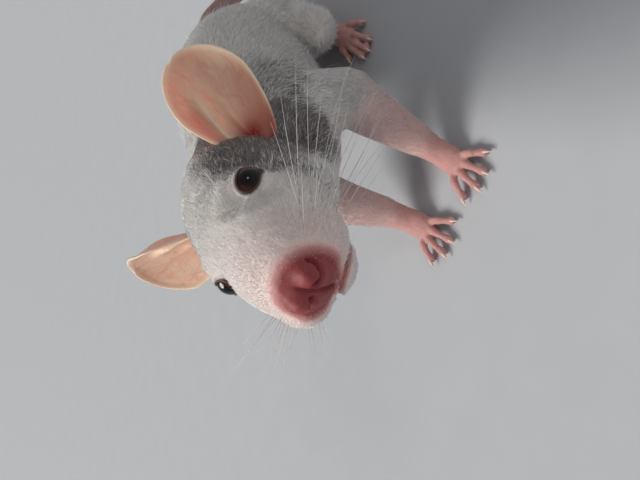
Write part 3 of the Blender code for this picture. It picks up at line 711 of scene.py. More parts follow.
def tones(points):
    """The markings: grey of the hood, flush of nose and lips, and bareness of paws, each from 0 to 1.

    The hood is grey where |x| passes the blaze's half width, from just before the eye to the shoulders. Its
    edges wander by smooth noise, and on neck and shoulders it breaks into patches.
    """
    head = to_head(points)
    x, y, z = head.T
    wander = drift(points, 5.0, 3) * 1.6 + drift(points, 1.8, 4) * 0.7
    x = np.abs(x)
    blaze = 6.2 + 2.6 * ease(-8, -22, y) - 5.5 * ease(-2, 6, y)
    cap = ease(-2.6, 2.8, x + wander * 0.8 - blaze) * ease(-23.5, -18.0, y + wander * 0.6)
    cap *= ease(-24.5, -21.0, y)
    cheek = ease(-11.0, 3.0, z + 1.6 * wander + 9.0 * ease(-18, -5, y) + 13.0 * ease(-9, 6, y))
    under = np.maximum(ease(6.0, 11.0, x), ease(-9.0, -3.0, z))
    hood = cap * cheek * under * ease(24, 14, y) * ease(-32, -22, z)
    nape = ease(0, 9, y + wander) * ease(-44.0, -50.0, points[:, 1] - 0.35 * (60 - points[:, 2]).clip(0))
    nape *= ease(-20.0, -11.0, z + 1.5 * wander) * under
    neck = ease(4, 9, y + wander) * ease(-24.0, -33.0, points[:, 1] + 0.2 * (50 - points[:, 2]))
    spine = np.interp(points[:, 1], TRUNK[:, 1], TRUNK[:, 2])
    sides = ease(5.0, 9.0, x) * ease(-7.0, -1.0, points[:, 2] - spine + wander)
    broken = ease(-0.25, 0.35, drift(points, 4.2, 5) + 0.5 * drift(points, 1.6, 6) + 0.15)
    smoke = 0.36 * ease(4, 9, y + wander) * ease(-6.0, -24.0, points[:, 1] + 2.0 * wander)
    behind = np.maximum(nape * (0.45 + 0.4 * broken), sides * np.maximum(neck * broken, smoke))
    hood = np.maximum(hood, behind * ease(30.0, 36.0, points[:, 2]))
    nose = reach_from(head, (0.0, -41.5, -5.0), (5.2, 4.6, 5.2))
    lips, _ = line_reach(np.abs(head) * [1, -1, -1], MOUTH_LINE)
    lips = np.where((y < -24) & (z < -5), lips, 99.0)
    flush = np.maximum(ease(1.75, 0.85, nose), 0.62 * ease(1.5, 0.4, lips) * ease(-27.0, -33.0, y))
    flush = np.maximum(flush, 0.16 * ease(-28.0, -39.0, y) * ease(-18.0, -10.0, z))
    bare = np.zeros(len(points))
    for side, word in HANDS[::-1]:
        gap, height = ear_hollow(head, side)
        # The hollow before the ear turns red, deepest at its lower part: partly the skin's own red, partly
        # painted shade in the recess.
        flush = np.maximum(flush, ease(1.2, 0.8, gap) * (0.4 + 0.6 * ease(0.1, -0.5, height)))
        reach, edge = round_the_eye(head, side)
        hood = hood * (1 - 0.5 * ease(5.6, 4.4, reach))
        hood = np.maximum(hood, 0.85 * ease(0.20, 0.05, edge) * ease(4.8, 4.3, reach))
        for name, low, high in (("foreleg", 0.46, 0.78), ("foot", -0.2, 0.12)):
            gap, share, _, _ = nearest(points, PARTS[f"{name}_{word}"])
            skin = ease(low, high, share) * ease(2.2, 1.6, gap)
            bare = np.maximum(bare, skin * ease(17.0, 7.5, points[:, 2]))
            if name == "foreleg":
                bare = np.maximum(bare, 0.6 * ease(0.08, 0.62, share) * ease(1.9, 1.2, gap))
    return hood.clip(0, 1), flush.clip(0, 1), bare.clip(0, 1)


# Paws: palms, soles and digits to be joined into the skin, and the claws.


def digit_rows(knuckle, tip, arch, radius):
    """A digit's middle line over its arch, and radii that swell at its two joints and its end pad."""
    knuckle, tip = np.asarray(knuckle, float), np.asarray(tip, float)
    middle = (knuckle + tip) / 2 + np.array([0.0, 0.0, arch])
    root = knuckle + (knuckle - middle) * 0.35
    rows = curve_through([root, knuckle, middle, tip], 15)
    share = np.linspace(0, 1, 15)
    swell = 1.04 + 0.10 * np.cos(share * 4 * math.pi) - 0.12 * share + 0.12 * bell((share, 1, 0.12))
    return rows, radius * swell


CLAW_LENGTH = 2.5


def claw_shape(tip, ahead, radius):
    """A claw that springs from above the end pad, bends down to the floor and tapers to a point."""
    along = np.linspace(0, 1, 9)
    drop = 0.55 + 0.5 * along - 1.25 * along**2
    path = tip + ahead * (radius * 0.35 + along * CLAW_LENGTH)[:, None] + UP * drop[:, None]
    path[:, 2] = np.maximum(path[:, 2], 0.12)
    taper = 0.52 * (1 - along**1.7) + 0.05
    return loft(tube(path, taper * 0.8, taper, 8, domes=(2, 1)))


def limb_ends():
    """The fleshy shapes of all four feet, and one joined shape of claws for each foot."""
    fleshy, claws = [], {}
    for side, word in HANDS:
        rows = curve_through(mirrored(PALM, side), 13)
        high = np.minimum(rows[:, 3], np.linspace(4.4, 1.9, 13))
        fleshy.append(loft(tube(rows[:, :3], rows[:, 3], high, 20)))
        rows = curve_through(mirrored(SOLE, side), 17)
        fleshy.append(loft(tube(rows[:, :3], rows[:, 3], np.linspace(4.3, 2.0, 17), 20)))
        for foot, digits, low, arch, radius in (
            ("fore_paw", FINGERS, 0.95, 0.9, 1.05),
            ("hind_foot", TOES, 1.0, 0.8, 1.15),
        ):
            made = []
            for knuckle_x, tip_x, reach, knuckle_y in digits:
                knuckle = mirrored((knuckle_x, knuckle_y, 1.9), side)
                tip = mirrored((tip_x, knuckle_y - reach, low), side)
                rows, radii = digit_rows(knuckle, tip, arch, radius)
                fleshy.append(loft(tube(rows, radii, radii, 14)))
                made.append(claw_shape(tip, unit((tip - knuckle) * (1.0, 1.0, 0.0)), radius))
            claws[f"{foot}_{word}"] = joined(made)
    return fleshy, claws


# The skin.


def mesh_arrays(mesh, sides):
    """A mesh's points, and its faces of so many sides, as arrays. The mesh is then removed."""
    points = np.empty(3 * len(mesh.vertices))
    mesh.vertices.foreach_get("co", points)
    corners = np.empty(len(mesh.loops), int)
    mesh.loops.foreach_get("vertex_index", corners)
    bpy.data.meshes.remove(mesh)
    return points.reshape(-1, 3), corners.reshape(-1, sides)


def plain_mesh(points, faces):
    """A mesh of these points and faces."""
    mesh = bpy.data.meshes.new("source")
    mesh.from_pydata(points.tolist(), [], faces.tolist())
    return mesh


def modified(points, faces, sides, prepare):
    """A surface as arrays, after the modifier that prepare puts on a short-lived object of it."""
    mesh = plain_mesh(points, faces)
    source = bpy.data.objects.new("source", mesh)
    bpy.context.scene.collection.objects.link(source)
    prepare(source)
    made = bpy.data.meshes.new_from_object(source.evaluated_get(bpy.context.evaluated_depsgraph_get()))
    bpy.data.objects.remove(source)
    bpy.data.meshes.remove(mesh)
    return mesh_arrays(made, sides)


def voxel_skin(shape, size):
    """The outer surface of overlapping closed shapes, as even quads of a size."""

    def remesh(source):
        modifier = source.modifiers.new("remesh", "REMESH")
        modifier.mode = "VOXEL"
        modifier.voxel_size = size * MM

    points, faces = modified(shape[0] * MM, shape[1], 4, remesh)
    return points / MM, faces


def thinned(points, faces, busy, wanted):
    """Fewer triangles by edge collapse where busy is low, down to a wanted number."""

    def collapse(source):
        group = source.vertex_groups.new(name="plain")
        for level in range(5):
            picked = np.flatnonzero((busy * 4.999).astype(int) == level).tolist()
            group.add(picked, 1 - level / 4, "REPLACE")
        modifier = source.modifiers.new("collapse", "DECIMATE")
        modifier.ratio = wanted / len(faces)
        modifier.vertex_group = "plain"
        modifier.vertex_group_factor = 4.0
        modifier.use_collapse_triangulate = True

    return modified(points, faces, 3, collapse)


def triangles(shape):
    """A bmesh cut into triangles, as arrays. The bmesh is then freed."""
    bmesh.ops.triangulate(shape, faces=shape.faces)
    mesh = bpy.data.meshes.new("copy")
    shape.to_mesh(mesh)
    shape.free()
    return mesh_arrays(mesh, 3)


def solid_shape(name, swell):
    """A solid's own points, merged and moved out along their normals by swell."""
    shape = bmesh.new()
    shape.from_mesh(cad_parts[name].data)
    bmesh.ops.remove_doubles(shape, verts=shape.verts, dist=2e-6)
    points, faces = triangles(shape)
    points = points / MM - SHIFT
    return points + swell * surface_normals(points, faces), faces


def refined(points, faces, chosen):
    """Splits the edges whose two ends are chosen, then cuts every face into triangles."""
    mesh = plain_mesh(points, faces)
    shape = bmesh.new()
    shape.from_mesh(mesh)
    bpy.data.meshes.remove(mesh)
    picked = set(np.flatnonzero(chosen).tolist())
    edges = [e for e in shape.edges if e.verts[0].index in picked and e.verts[1].index in picked]
    bmesh.ops.subdivide_edges(shape, edges=edges, cuts=1, use_grid_fill=True)
    return triangles(shape)


def opening_angle(turn):
    """Half the angle that the lids leave open, wider toward the front upper and the back lower corner."""
    return np.radians(54.0 + 16.0 * np.cos(2 * (turn + 0.5)) - 1.5 * np.cos(turn + 0.5))


def eye_axes(side):
    """The eye's own directions in the head's frame: its look, backwards across it, and up."""
    look = mirrored(EYE_LOOK, side)
    back = unit(np.array([0.0, 1.0, 0.0]) - look * look[1])
    return look, back, np.cross(look, back) * side


def round_the_eye(head, side):
    """Each point's distance from the eye's centre, and its angle outside the edge of the lids."""
    look, back, up = eye_axes(side)
    offset = head - mirrored(EYE_AT, side)
    reach = np.linalg.norm(offset, axis=1)
    lean = np.arccos(np.clip(offset @ look / reach, -1, 1))
    return reach, lean - opening_angle(np.arctan2(offset @ up, offset @ back))


def with_lids(head, side):
    """Skin round one eye: inside the opening it sinks behind the eyeball, outside it forms a rolled lid."""
    reach, edge = round_the_eye(head, side)
    near = reach < 9.0
    out, reach, edge = head[near] - mirrored(EYE_AT, side), reach[near], edge[near]
    lid = EYE_RADIUS + 0.26 + 0.42 * np.sin(np.clip(edge / 0.5, 0, 1) * math.pi / 2)
    crease = -0.22 * bell((edge, 0.30, 0.07)) - 0.12 * bell((edge, 0.5, 0.07))
    share = ease(0.80, 0.30, edge)
    wanted = np.where(edge < -0.03, EYE_RADIUS - 0.6, lid + crease)
    head = head.copy()
    head[near] = mirrored(EYE_AT, side) + unit(out) * (share * wanted + (1 - share) * reach)[:, None]
    return head


def settled(line, head):
    """A line of the head's frame, finely divided, each point moved to the nearest point of the skin."""
    rows = curve_through(line, 12)
    nearest_rows = np.linalg.norm(head[None] - rows[:, None], axis=-1).argmin(1)
    return curve_through(head[nearest_rows], 24)


def face_relief(head, points):
    """How far the face's skin moves along its normal, for nostrils, nose pad, cleft, lips and whisker rows.

    Each form is a bell curve of a distance: to a nostril's slanting comma, to the middle plane, to the line
    of the mouth, or to the rows on the whisker pad.
    """
    x, y, z = head.T
    side_x = np.abs(x)
    front = ease(-34.0, -38.5, y)
    relief = 0.55 * bell((side_x, 1.9, 1.5), (z, -3.6, 2.2)) * front
    twin = np.stack([side_x, y, z], 1)
    gap, share = line_reach(twin, settled(NOSTRIL, twin))
    relief -= 1.5 * np.exp(-((gap / (0.55 - 0.2 * share)) ** 2.2)) * (1 - 0.35 * share)
    relief += 0.35 * bell((side_x, 3.2, 1.3), (z, -2.6, 1.3)) * front
    relief -= 0.42 * bell((x, 0.0, 0.32)) * ease(-1.2, -3.2, z) * ease(-37.5, -40.0, y)
    cleft, _ = line_reach(head, settled(LIP_CLEFT, head))
    relief -= 0.7 * bell((cleft, 0.0, 0.5))
    gap, share = line_reach(twin, settled(MOUTH_LINE, twin))
    relief -= 0.95 * bell((gap, 0.0, 0.5)) * (0.55 + 0.45 * share)
    relief += 0.34 * bell((gap, 1.15, 0.55))
    rows = 0.5 + 0.5 * np.cos((z + 0.32 * y + 4.0) * 2 * math.pi / 2.3)
    relief += 0.16 * rows * bell((side_x, 7.5, 3.2), (y, -32.5, 4.6), (z, -6.0, 4.0))
    wrinkles = np.sin((z * 0.6 - y) * 2 * math.pi / 1.7 + 1.5 * drift(points, 2.5, 9))
    bridge = bell((z, 2.5, 3.0)) * ease(-31.0, -37.0, y)
    relief += 0.07 * wrinkles * bridge
    return relief + 0.10 * drift(points, 2.2, 8) + 0.05 * drift(points, 0.9, 7)


SKIN_GRID = 0.45
SKIN_TRIANGLES = 165000
HOLLOW_BEFORE_EYE = EYE_AT + np.array([-1.0, -3.0, 1.0])


def make_skin(fleshy):
    """The skin: the solids of flesh and finer feet remeshed as one, smoothed, sunk under the coat, carved."""
    shapes = [solid_shape(name, 0.22) for name in FLESH] + fleshy
    for side in (-1, 1):
        shapes.append(ball(mirrored(EYE_AT, side), (EYE_RADIUS + 0.4,) * 3))
        shapes.append(ball(mirrored((2.5, -40.6, -4.2), side), (1.7, 2.3, 1.6)))
        rows = curve_through(mirrored(WRIST, side), 9)
        shapes.append(loft(tube(rows[:, :3], rows[:, 3], sides=24)))
    points, faces = largest_part(*voxel_skin(joined(shapes), SKIN_GRID))
    faces = facing_out(points, faces)
    low = ease(12.0, 7.0, points[:, 2])
    points = relaxed(points, faces, 1 - 0.75 * low, 14)
    wrists = ease(5.5, 8.5, points[:, 2]) * ease(22.0, 16.0, points[:, 2]) * ease(-27.0, -31.0, points[:, 1])
    points = relaxed(points, faces, wrists, 24, 0.0)
    for side in (-1, 1):
        gap = reach_from(to_head(points), mirrored(HOLLOW_BEFORE_EYE, side))
        points = relaxed(points, faces, ease(10.5, 7.0, gap), 50, 0.0)
    head = to_head(points)
    detail = (head[:, 1] < -33.0) & (head[:, 2] > -20.0) & (np.abs(head[:, 0]) < 20.0)
    for side in (-1, 1):
        detail |= reach_from(head, mirrored(EYE_AT, side)) < 7.0
        detail |= ear_hollow(head, side)[0] < 1.3
    points, faces = refined(points, faces, detail)
    normals = surface_normals(points, faces)
    plan = coat_plan(points, normals)
    _, _, bare = tones(points)
    depth = np.clip(0.17 * plan["length"] - 0.10, 0.0, 1.1) * (1 - bare)
    points = points - normals * depth[:, None]
    points = relaxed(points, faces, 1 - 0.7 * ease(12.0, 7.0, points[:, 2]), 2)
    head = to_head(points)
    points = relaxed(points, faces, ease(4.0, 9.0, head[:, 1]) * ease(18.0, 24.0, points[:, 2]), 16, 0.4)
    normals = surface_normals(points, faces)
    snout = ease(-20.0, -26.0, head[:, 1]) * ease(-20.0, -16.0, head[:, 2])
    points = points + normals * (face_relief(head, points) * snout)[:, None]
    for side in (-1, 1):
        gap, _ = ear_hollow(head, side)
        points = points - normals * (2.9 * np.exp(-(gap**3)))[:, None]
        points = relaxed(points, faces, ease(1.5, 1.1, gap), 6, 0.3)
    head = to_head(points)
    for side in (-1, 1):
        head = with_lids(head, side)
    points = from_head(head)
    points[:, 2] = np.maximum(points[:, 2], 0.03)
    return points, faces


# The coat.

BLADE_UV = np.array([(-0.5, -0.5), (0.0, -0.5), (0.5, -0.5), (-0.4, 0.0), (0.0, 0.1), (0.4, 0.0), (0.0, 0.5)])
BLADE_FACES = np.array([
    (0, 1, 4), (0, 4, 3), (1, 2, 5), (1, 5, 4), (2, 0, 3),
    (2, 3, 5), (3, 4, 6), (4, 5, 6), (5, 3, 6), (0, 2, 1),
])
PATCH = 0.003
TUFTS_IN_A_PIECE = 19000


def tufts(root, normal, lie, length, width, height, sway, grey, random, pink, place):
    """Seven points and ten triangles a tuft: a three-sided blade that leaves the skin and bends into the lie.

    At a share t of its length its middle line has gone length t (0.75 + 0.25 t) along the lie, height
    t (2 - t) up from the skin, and t squared times its sway. It is widest a third of the way and ends in a
    point. Its patch on the map is a small square at the root's place.
    """
    share = np.array([0.0, 0.42, 1.0])[None, :, None]
    line = (
        root[:, None]
        + lie[:, None] * (length[:, None, None] * share * (0.75 + 0.25 * share))
        + normal[:, None] * (height[:, None, None] * share * (2 - share))
        + sway[:, None] * share**2
    )
    line[:, 0] -= normal * 0.2
    run = unit(line[:, 2] - line[:, 0])
    across = unit(np.cross(normal, run))
    up = np.cross(run, across)
    angle = np.radians([90.0, 210.0, 330.0])
    ring = turned(angle, across[:, None], 0.55 * up[:, None])
    width, grey, pink = (np.broadcast_to(value, len(root)) for value in (width, grey, pink))
    half = (width / 2)[:, None, None]
    points = np.concatenate([line[:, :1] + 0.8 * half * ring, line[:, 1:2] + half * ring, line[:, 2:]], 1)
    count = len(root)
    faces = (np.arange(count)[:, None, None] * 7 + BLADE_FACES).reshape(-1, 3)
    level = np.array([0.0, 0.0, 0.0, 0.42, 0.42, 0.42, 1.0])
    colour = np.stack(np.broadcast_arrays(grey[:, None], random[:, None], level, pink[:, None]), -1)
    uv = place[:, None] + PATCH * BLADE_UV
    return points.reshape(-1, 3), faces, colour.reshape(-1, 4), uv.reshape(-1, 2)


def add_tufts(name, made):
    """A piece of tufts, with what the coat's finish reads of each."""
    add_piece(name, made[:2], COAT, {"lock": made[2]}, {"OFBake": made[3]})


def scattered(points, faces, density, draw):
    """Roots spread over triangles: as many as area times density, evenly along the list, at random inside."""
    a, b, c = (points[faces[:, k]] for k in range(3))
    area = np.linalg.norm(np.cross(b - a, c - a), axis=1) / 2
    total = np.cumsum(area * density[faces].mean(1))
    count = int(total[-1])
    chosen = np.searchsorted(total, (np.arange(count) + draw.random(count)) / count * total[-1])
    chosen = np.minimum(chosen, len(faces) - 1)
    u, v = np.sqrt(draw.random(count)), draw.random(count)
    share = np.stack([1 - u, u * (1 - v), u * v], 1)
    return faces[chosen], share


def at_roots(values, corners, share):
    """The mean of the values at each root's three corners, weighted by its shares."""
    share = share[..., None] if values.ndim == 2 else share
    return (values[corners] * share).sum(1)


def to_lock(points, size, seed):
    """From each root to the middle of the roots that share its cube of a wandering grid."""
    wander = np.stack([drift(points, 3.0, seed + k) for k in range(3)], 1) * 0.6
    key = np.floor(points / size + wander).astype(np.int64)
    key = key @ np.array([73856093, 19349663, 83492791])
    _, cell = np.unique(key, return_inverse=True)
    count = np.bincount(cell)[:, None]
    middle = np.stack([np.bincount(cell, axis) for axis in points.T], 1) / count
    return middle[cell] - points


def unwrap(plan):
    """A place on the square for each point: the turn round its part's line, and the share of its length."""
    turn = np.arctan2(plan["offset"][:, 0], plan["offset"][:, 2])
    return np.stack([0.5 + turn / (2 * math.pi) * 0.98, 0.01 + 0.98 * plan["along"]], 1)


def region_of(part):
    """The coat's region for a part: haunch, shank and foot make one hindquarter."""
    kind, _, word = part.partition("_")
    return f"hindquarter_{word}" if kind in ("haunch", "shank", "foot") else part


def coat_density(points, plan):
    """Roots a square millimetre: few on flushed or bare skin, none on the nose, the eyes and the ear cups."""
    _, flush, bare = tones(points)
    head = to_head(points)
    density = plan["density"] * (1 - 0.5 * bare) * (1 - 0.85 * flush) * ease(0.8, 1.2, plan["nose"])
    density = density * ease(0.5, 1.6, points[:, 2])
    for side in (-1, 1):
        reach, edge = round_the_eye(head, side)
        density = density * (1 - ease(0.16, 0.05, edge) * ease(7.0, 6.0, reach))
        density = density * (1 + 1.2 * ease(6.5, 4.5, reach))
        density = density * ease(0.85, 1.1, ear_hollow(head, side)[0])
    return density


def make_coat(points, faces):
    """All tufts of the coat, in pieces for each region, none over 200,000 triangles."""
    draw = np.random.default_rng(11)
    normals = surface_normals(points, faces)
    density = coat_density(points, coat_plan(points, normals))
    corners, share = scattered(points, faces, density, draw)
    root = at_roots(points, corners, share)
    normal = unit(at_roots(normals, corners, share))
    plan = coat_plan(root, normal)
    grey, flush, bare = tones(root)
    count = len(root)
    random = draw.random(count)
    length = plan["length"] * (0.72 + 0.5 * draw.random(count))
    width = np.clip(0.075 + 0.023 * length, 0.08, 0.24) * (0.7 + 0.6 * draw.random(count))
    stand = 0.8 + 0.45 * draw.random(count)
    height = (0.155 * plan["length"] + 0.04) * stand * (1 + 1.3 * throat(to_head(root)))
    guard = draw.random(count) < 0.05 * ease(3.0, 5.0, plan["length"])
    length = np.where(guard, length * 1.3, length)
    height = np.where(guard, height * (1.6 + draw.random(count)), height)
    width = np.where(guard, width * 0.45, width)
    swerve = (0.34 - 0.025 * length) * draw.standard_normal(count)
    lie = unit(plan["lie"] + np.cross(normal, plan["lie"]) * swerve[:, None])
    clump = 0.2 + 0.5 * ease(-16.0, -30.0, root[:, 1]) * ease(3.2, 4.2, plan["length"])
    sway = to_lock(root, 1.3, 21) * clump[:, None] * ease(1.5, 3.5, plan["length"])[:, None]
    sway = sway + np.cross(normal, lie) * (length * 0.10 * draw.standard_normal(count))[:, None]
    roan = 0.88 * grey + 0.12 * (grey > 0.5) * drift(root, 1.2, 13)
    greyed = draw.random(count) < roan
    dark = 0.72 + 0.28 * draw.random(count)
    mixed = np.where(greyed, dark, 0.25 * draw.random(count) * (grey > 0.2))
    pink = np.clip(0.9 * flush + 0.75 * bare, 0, 1)
    place = unwrap(plan)
    owner = np.array([region_of(name) for name in PARTS])[plan["owner"]]
    owner = np.where((owner == "trunk") & (plan["along"] > 0.30), "back", owner)
    owner = np.where(owner == "trunk", "neck", owner)
    for region in np.unique(owner):
        chosen = np.flatnonzero(owner == region)
        parts = -(-len(chosen) // TUFTS_IN_A_PIECE)
        order = chosen[np.argsort(place[chosen, 1], kind="stable")]
        for k, rows in enumerate(np.array_split(order, parts)):
            picked = (a[rows] for a in (root, normal, lie, length, width, height, sway, mixed, random, pink))
            spread = place[rows].copy()
            low, high = spread.min(0), spread.max(0)
            spread = 0.01 + 0.98 * (spread - low) / (high - low)
            name = f"coat_{region}" + (f"_{k + 1}" if parts > 1 else "")
            add_tufts(name, tufts(*picked, spread))


# Ears, eyes, whiskers and tail.


def ear_axes(side):
    """The ear's directions in the head's frame: up its length, out of its cup, and to its back margin."""
    rise = unit(mirrored(EAR_RISE[side], side))
    facing = mirrored(EAR_FACING[side], side)
    facing = unit(facing - rise * (facing @ rise))
    return rise, facing, np.cross(rise, facing) * side


def ear_hollow(head, side):
    """The hollow before the ear: each point's gap from its middle, 1 at its oval edge, and its height."""
    rise, facing, across = ear_axes(side)
    away = head - mirrored(EAR_OPENING[side], side) - rise * 3.2
    ahead, out, up = away @ facing, away @ across / 6.0, away @ rise / 7.0
    ahead = ahead / np.where(ahead > 0, 2.7, 4.2)
    return np.sqrt(ahead**2 + out**2 + up**2), up


def ear_sheet(side, along, sideways):
    """The ear's inner face in the head's frame: a disc rolled into a cup, tight at the root, open at the tip.

    Its front margin turns in as a flap. A tall ridge climbs from the canal beside it towards the middle, with
    a trough between them, then come a low second ridge, a bowl over the canal and a lobe at the back of the
    root. Each form is a bell curve or an eased step of the level, the share of the way to the margin.
    """
    rise, facing, across = ear_axes(side)
    taper = 0.62 + 0.38 * np.clip(along / 0.62, 0, 1) ** 1.1
    roll = 4.2 + 10.8 * np.clip(along, 0, 1) ** 0.9
    angle = sideways * taper * EAR_ARC / 2 / roll
    depth = roll * (1 - np.cos(angle)) - EAR_BOW * np.sin(math.pi * along / 2) ** 2
    level = np.clip(sideways / (2 * np.sqrt(np.clip(along * (1 - along), 0.004, 0.25))), -1, 1)
    middle = 0.75 * along - 0.80
    fade = ease(0.03, 0.15, along) * ease(0.78, 0.5, along)
    ridge = bell((level, middle, 0.15)) * fade
    trough = bell((level - middle, -0.27, 0.13)) * fade
    second = bell((level + 0.12, 0.3 * along, 0.10)) * ease(0.1, 0.22, along) * ease(0.56, 0.36, along)
    bowl = bell((along, 0.16, 0.11), (level, 0.02, 0.45))
    flap = ease(-0.5, -1.0, level) * ease(0.05, 0.22, along) * ease(1.0, 0.7, along)
    lobe = ease(0.5, 1.0, level) * ease(0.02, 0.1, along) * ease(0.55, 0.2, along)
    radial = np.hypot(2 * along - 1, sideways)
    rim = ease(0.88, 1.0, radial) * ease(0.1, 0.35, along)
    swell = np.sin(6 * sideways + 5 * along) * ease(0.25, 0.5, along) * ease(1.0, 0.8, radial)
    depth = depth + 2.7 * ridge - 0.8 * trough + 0.9 * second - 0.9 * bowl + 3.0 * flap + 1.4 * lobe
    depth = depth + 0.4 * rim * ease(-0.8, -0.4, level) + 0.16 * swell
    place = (
        mirrored(EAR_ROOTS[side], side)
        + rise * (along * EAR_LENGTH)[:, None]
        + across * (roll * np.sin(angle))[:, None]
        + facing * depth[:, None]
    )
    # The cup's dark red is partly the skin's own colour and partly painted shade in the recess.
    red = np.clip(1.1 * bowl + 0.5 * lobe * ease(0.4, 0.1, along) + ease(0.1, 0.02, along), 0, 1)
    # Painted shade in the trough and flap, cleared on the ridge and darker toward the root.
    fold_shade = np.clip(0.95 * trough + 0.35 * flap - ridge + 0.6 * ease(0.5, 0.1, along), 0, 1)
    # The last tone lightens the rim and puts a painted highlight along the ridges.
    return place, red, fold_shade, np.clip(rim + 0.7 * ridge + 0.35 * second, 0, 1)


def ear_cup(side):
    """Places over the lower half of the ear's inner face, which keep the coat clear of it."""
    along, level = (grid.ravel() for grid in np.meshgrid(np.linspace(0.02, 0.5, 18), np.linspace(-1, 1, 18)))
    return from_head(ear_sheet(side, along, level * 2 * np.sqrt(along * (1 - along)))[0])


def make_ear(side, word):
    """The ear as a closed shell: its inner face, a twin behind it, and a rounded rim between them."""
    rings, spokes = 46, 132
    ring = (np.arange(1, rings + 1) / rings)[:, None] ** 0.92
    turn = circle(spokes)[None]
    along = np.concatenate([[0.5], (0.5 + 0.5 * ring * np.cos(turn)).ravel()])
    sideways = np.concatenate([[0.0], (ring * np.sin(turn)).ravel()])
    front, red, fold_shade, rim = ear_sheet(side, along, sideways)
    j, ahead = ring_numbers(spokes)
    row = 1 + np.arange(rings - 1)[:, None] * spokes
    fan = np.stack([np.zeros(spokes, int), 1 + j, 1 + ahead], 1)
    sheet = np.concatenate([fan, strip(row + j, row + ahead, row + spokes + j, row + spokes + ahead)])
    normal = surface_normals(front, sheet)
    thick = 0.42 + 0.35 * ease(0.3, 0.0, along)
    back = front - normal * (thick * np.sign((normal @ ear_axes(side)[1]).sum()))[:, None]
    edge = 1 + (rings - 1) * spokes
    outward = unit(front[edge:] - front[edge - spokes : edge])
    brink = (front[edge:] + back[edge:]) / 2 + outward * 0.14
    count = len(front)
    margin, crest = (edge + j, edge + ahead), (2 * count + j, 2 * count + ahead)
    rolls = [strip(*margin, *crest), strip(*crest, margin[0] + count, margin[1] + count)]
    points = np.concatenate([front, back, brink])
    faces = np.concatenate([sheet, sheet[:, ::-1] + count, *rolls])
    faces = facing_out(points - points.mean(0), faces)
    # On the back face the red and the painted shade both grow toward the root.
    behind = 0.3 * ease(0.3, 0.0, along)
    columns = ((red, behind, red[edge:]), (fold_shade, behind, fold_shade[edge:]), (rim, rim, rim[edge:]))
    tone = {"tone": np.stack([np.concatenate(rows) for rows in columns], 1)}
    radius = np.hypot(along + 0.12, 0.55 * sideways)
    angle = np.arctan2(0.55 * sideways, along + 0.12)
    vein_map = np.stack([angle * 1.5, radius * 0.55], 1) + [2.0, 0.5]
    vein_map = {"Along": np.concatenate([vein_map, vein_map + [0.37, 0.0], vein_map[edge:]])}
    shape = (from_head(points), faces)
    add_piece(f"ear_shell_{word}", shape, EAR_SKIN, tone, vein_map, [f"ear_{word}"])
    return from_head(front), from_head(back), along, sideways, sheet


def make_eye(side, word):
    """The eyeball: a sphere about its look whose front bulges a little more, as the cornea does."""
    look, back, up = eye_axes(side)
    lean = np.linspace(0, math.pi, 50)[1:-1, None]
    turn = circle(64)[None] * side
    radius = EYE_RADIUS + 0.22 * bell((lean, 0.0, 0.75))
    middle = look * (radius * np.cos(lean))[..., None]
    points, faces = loft(middle + turned(turn, back, up) * (radius * np.sin(lean))[..., None])
    points[-2] = look * (EYE_RADIUS + 0.22)
    points[-1] = -look * EYE_RADIUS
    faces = facing_out(points, faces)
    angle = np.arccos(np.clip(unit(points) @ look, -1, 1)) / (math.pi / 2)
    corner = ease(0.55, 0.92, -(unit(points) @ (back * math.cos(0.5) - up * math.sin(0.5))))
    tone = np.stack([angle, corner, angle], 1)
    place = from_head(points + mirrored(EYE_AT, side))
    add_piece(f"eyeball_{word}", (place, faces), EYE, {"tone": tone}, None, [f"eye_{word}"])


def make_lid_margin(side, word):
    """A thin moist roll along the lids' edge, an almond ring lying on the eyeball."""
    look, back, up = eye_axes(side)
    turn = circle(96)
    lean = opening_angle(turn) - 0.02
    ray = turned(lean, look, turned(turn, back, up))
    run = unit(np.roll(ray, -1, 0) - np.roll(ray, 1, 0))
    square = np.cross(run, ray)
    size = 0.21 + 0.12 * bell((turn, 2.64, 0.35))
    section = turned(circle(10), ray[:, None], square[:, None])
    rings = mirrored(EYE_AT, side) + ray[:, None] * (EYE_RADIUS + 0.16) + section * size[:, None, None]
    points, faces = closed_ring(rings)
    faces = facing_out(points - mirrored(EYE_AT, side), faces)
    add_piece(f"lid_margin_{word}", (from_head(points), faces), LID)


def bristles(root, start, bend, length, thick, random):
    """Round tapering hairs of their own: each leaves its root along start and bends toward bend.

    At a share t the line has gone length t along the mean of its start and its bend, weighted by 1 - t
    and t, and its radius falls as 1 - t to the power 0.8.
    """
    levels = 14
    share = np.linspace(0, 1, levels)[None, :, None]
    way = start[:, None] * (share - share**2 / 2) + bend[:, None] * share**2 / 2
    line = root[:, None] + length[:, None, None] * way
    run = unit(np.gradient(line, axis=1))
    across = unit(np.cross(run, UP + 0.01))
    up = np.cross(across, run)
    radius = thick[:, None, None] * (1 - share) ** 0.8 + 0.012
    ring = turned(circle(3), across[:, :, None], up[:, :, None])
    rings = line[:, :, None] + ring * radius[..., None]
    count = len(root)
    _, one = loft(rings[0])
    ends = np.stack([line[:, 0], line[:, -1]], 1)
    points = np.concatenate([rings.reshape(count, -1, 3), ends], 1)
    per = points.shape[1]
    faces = (np.arange(count)[:, None, None] * per + one).reshape(-1, 3)
    level = np.concatenate([np.repeat(np.linspace(0, 1, levels), 3), [0.0, 1.0]])
    colour = np.stack(np.broadcast_arrays(0.0, random[:, None], level), -1)
    return points.reshape(-1, 3), faces, colour.reshape(-1, 3)


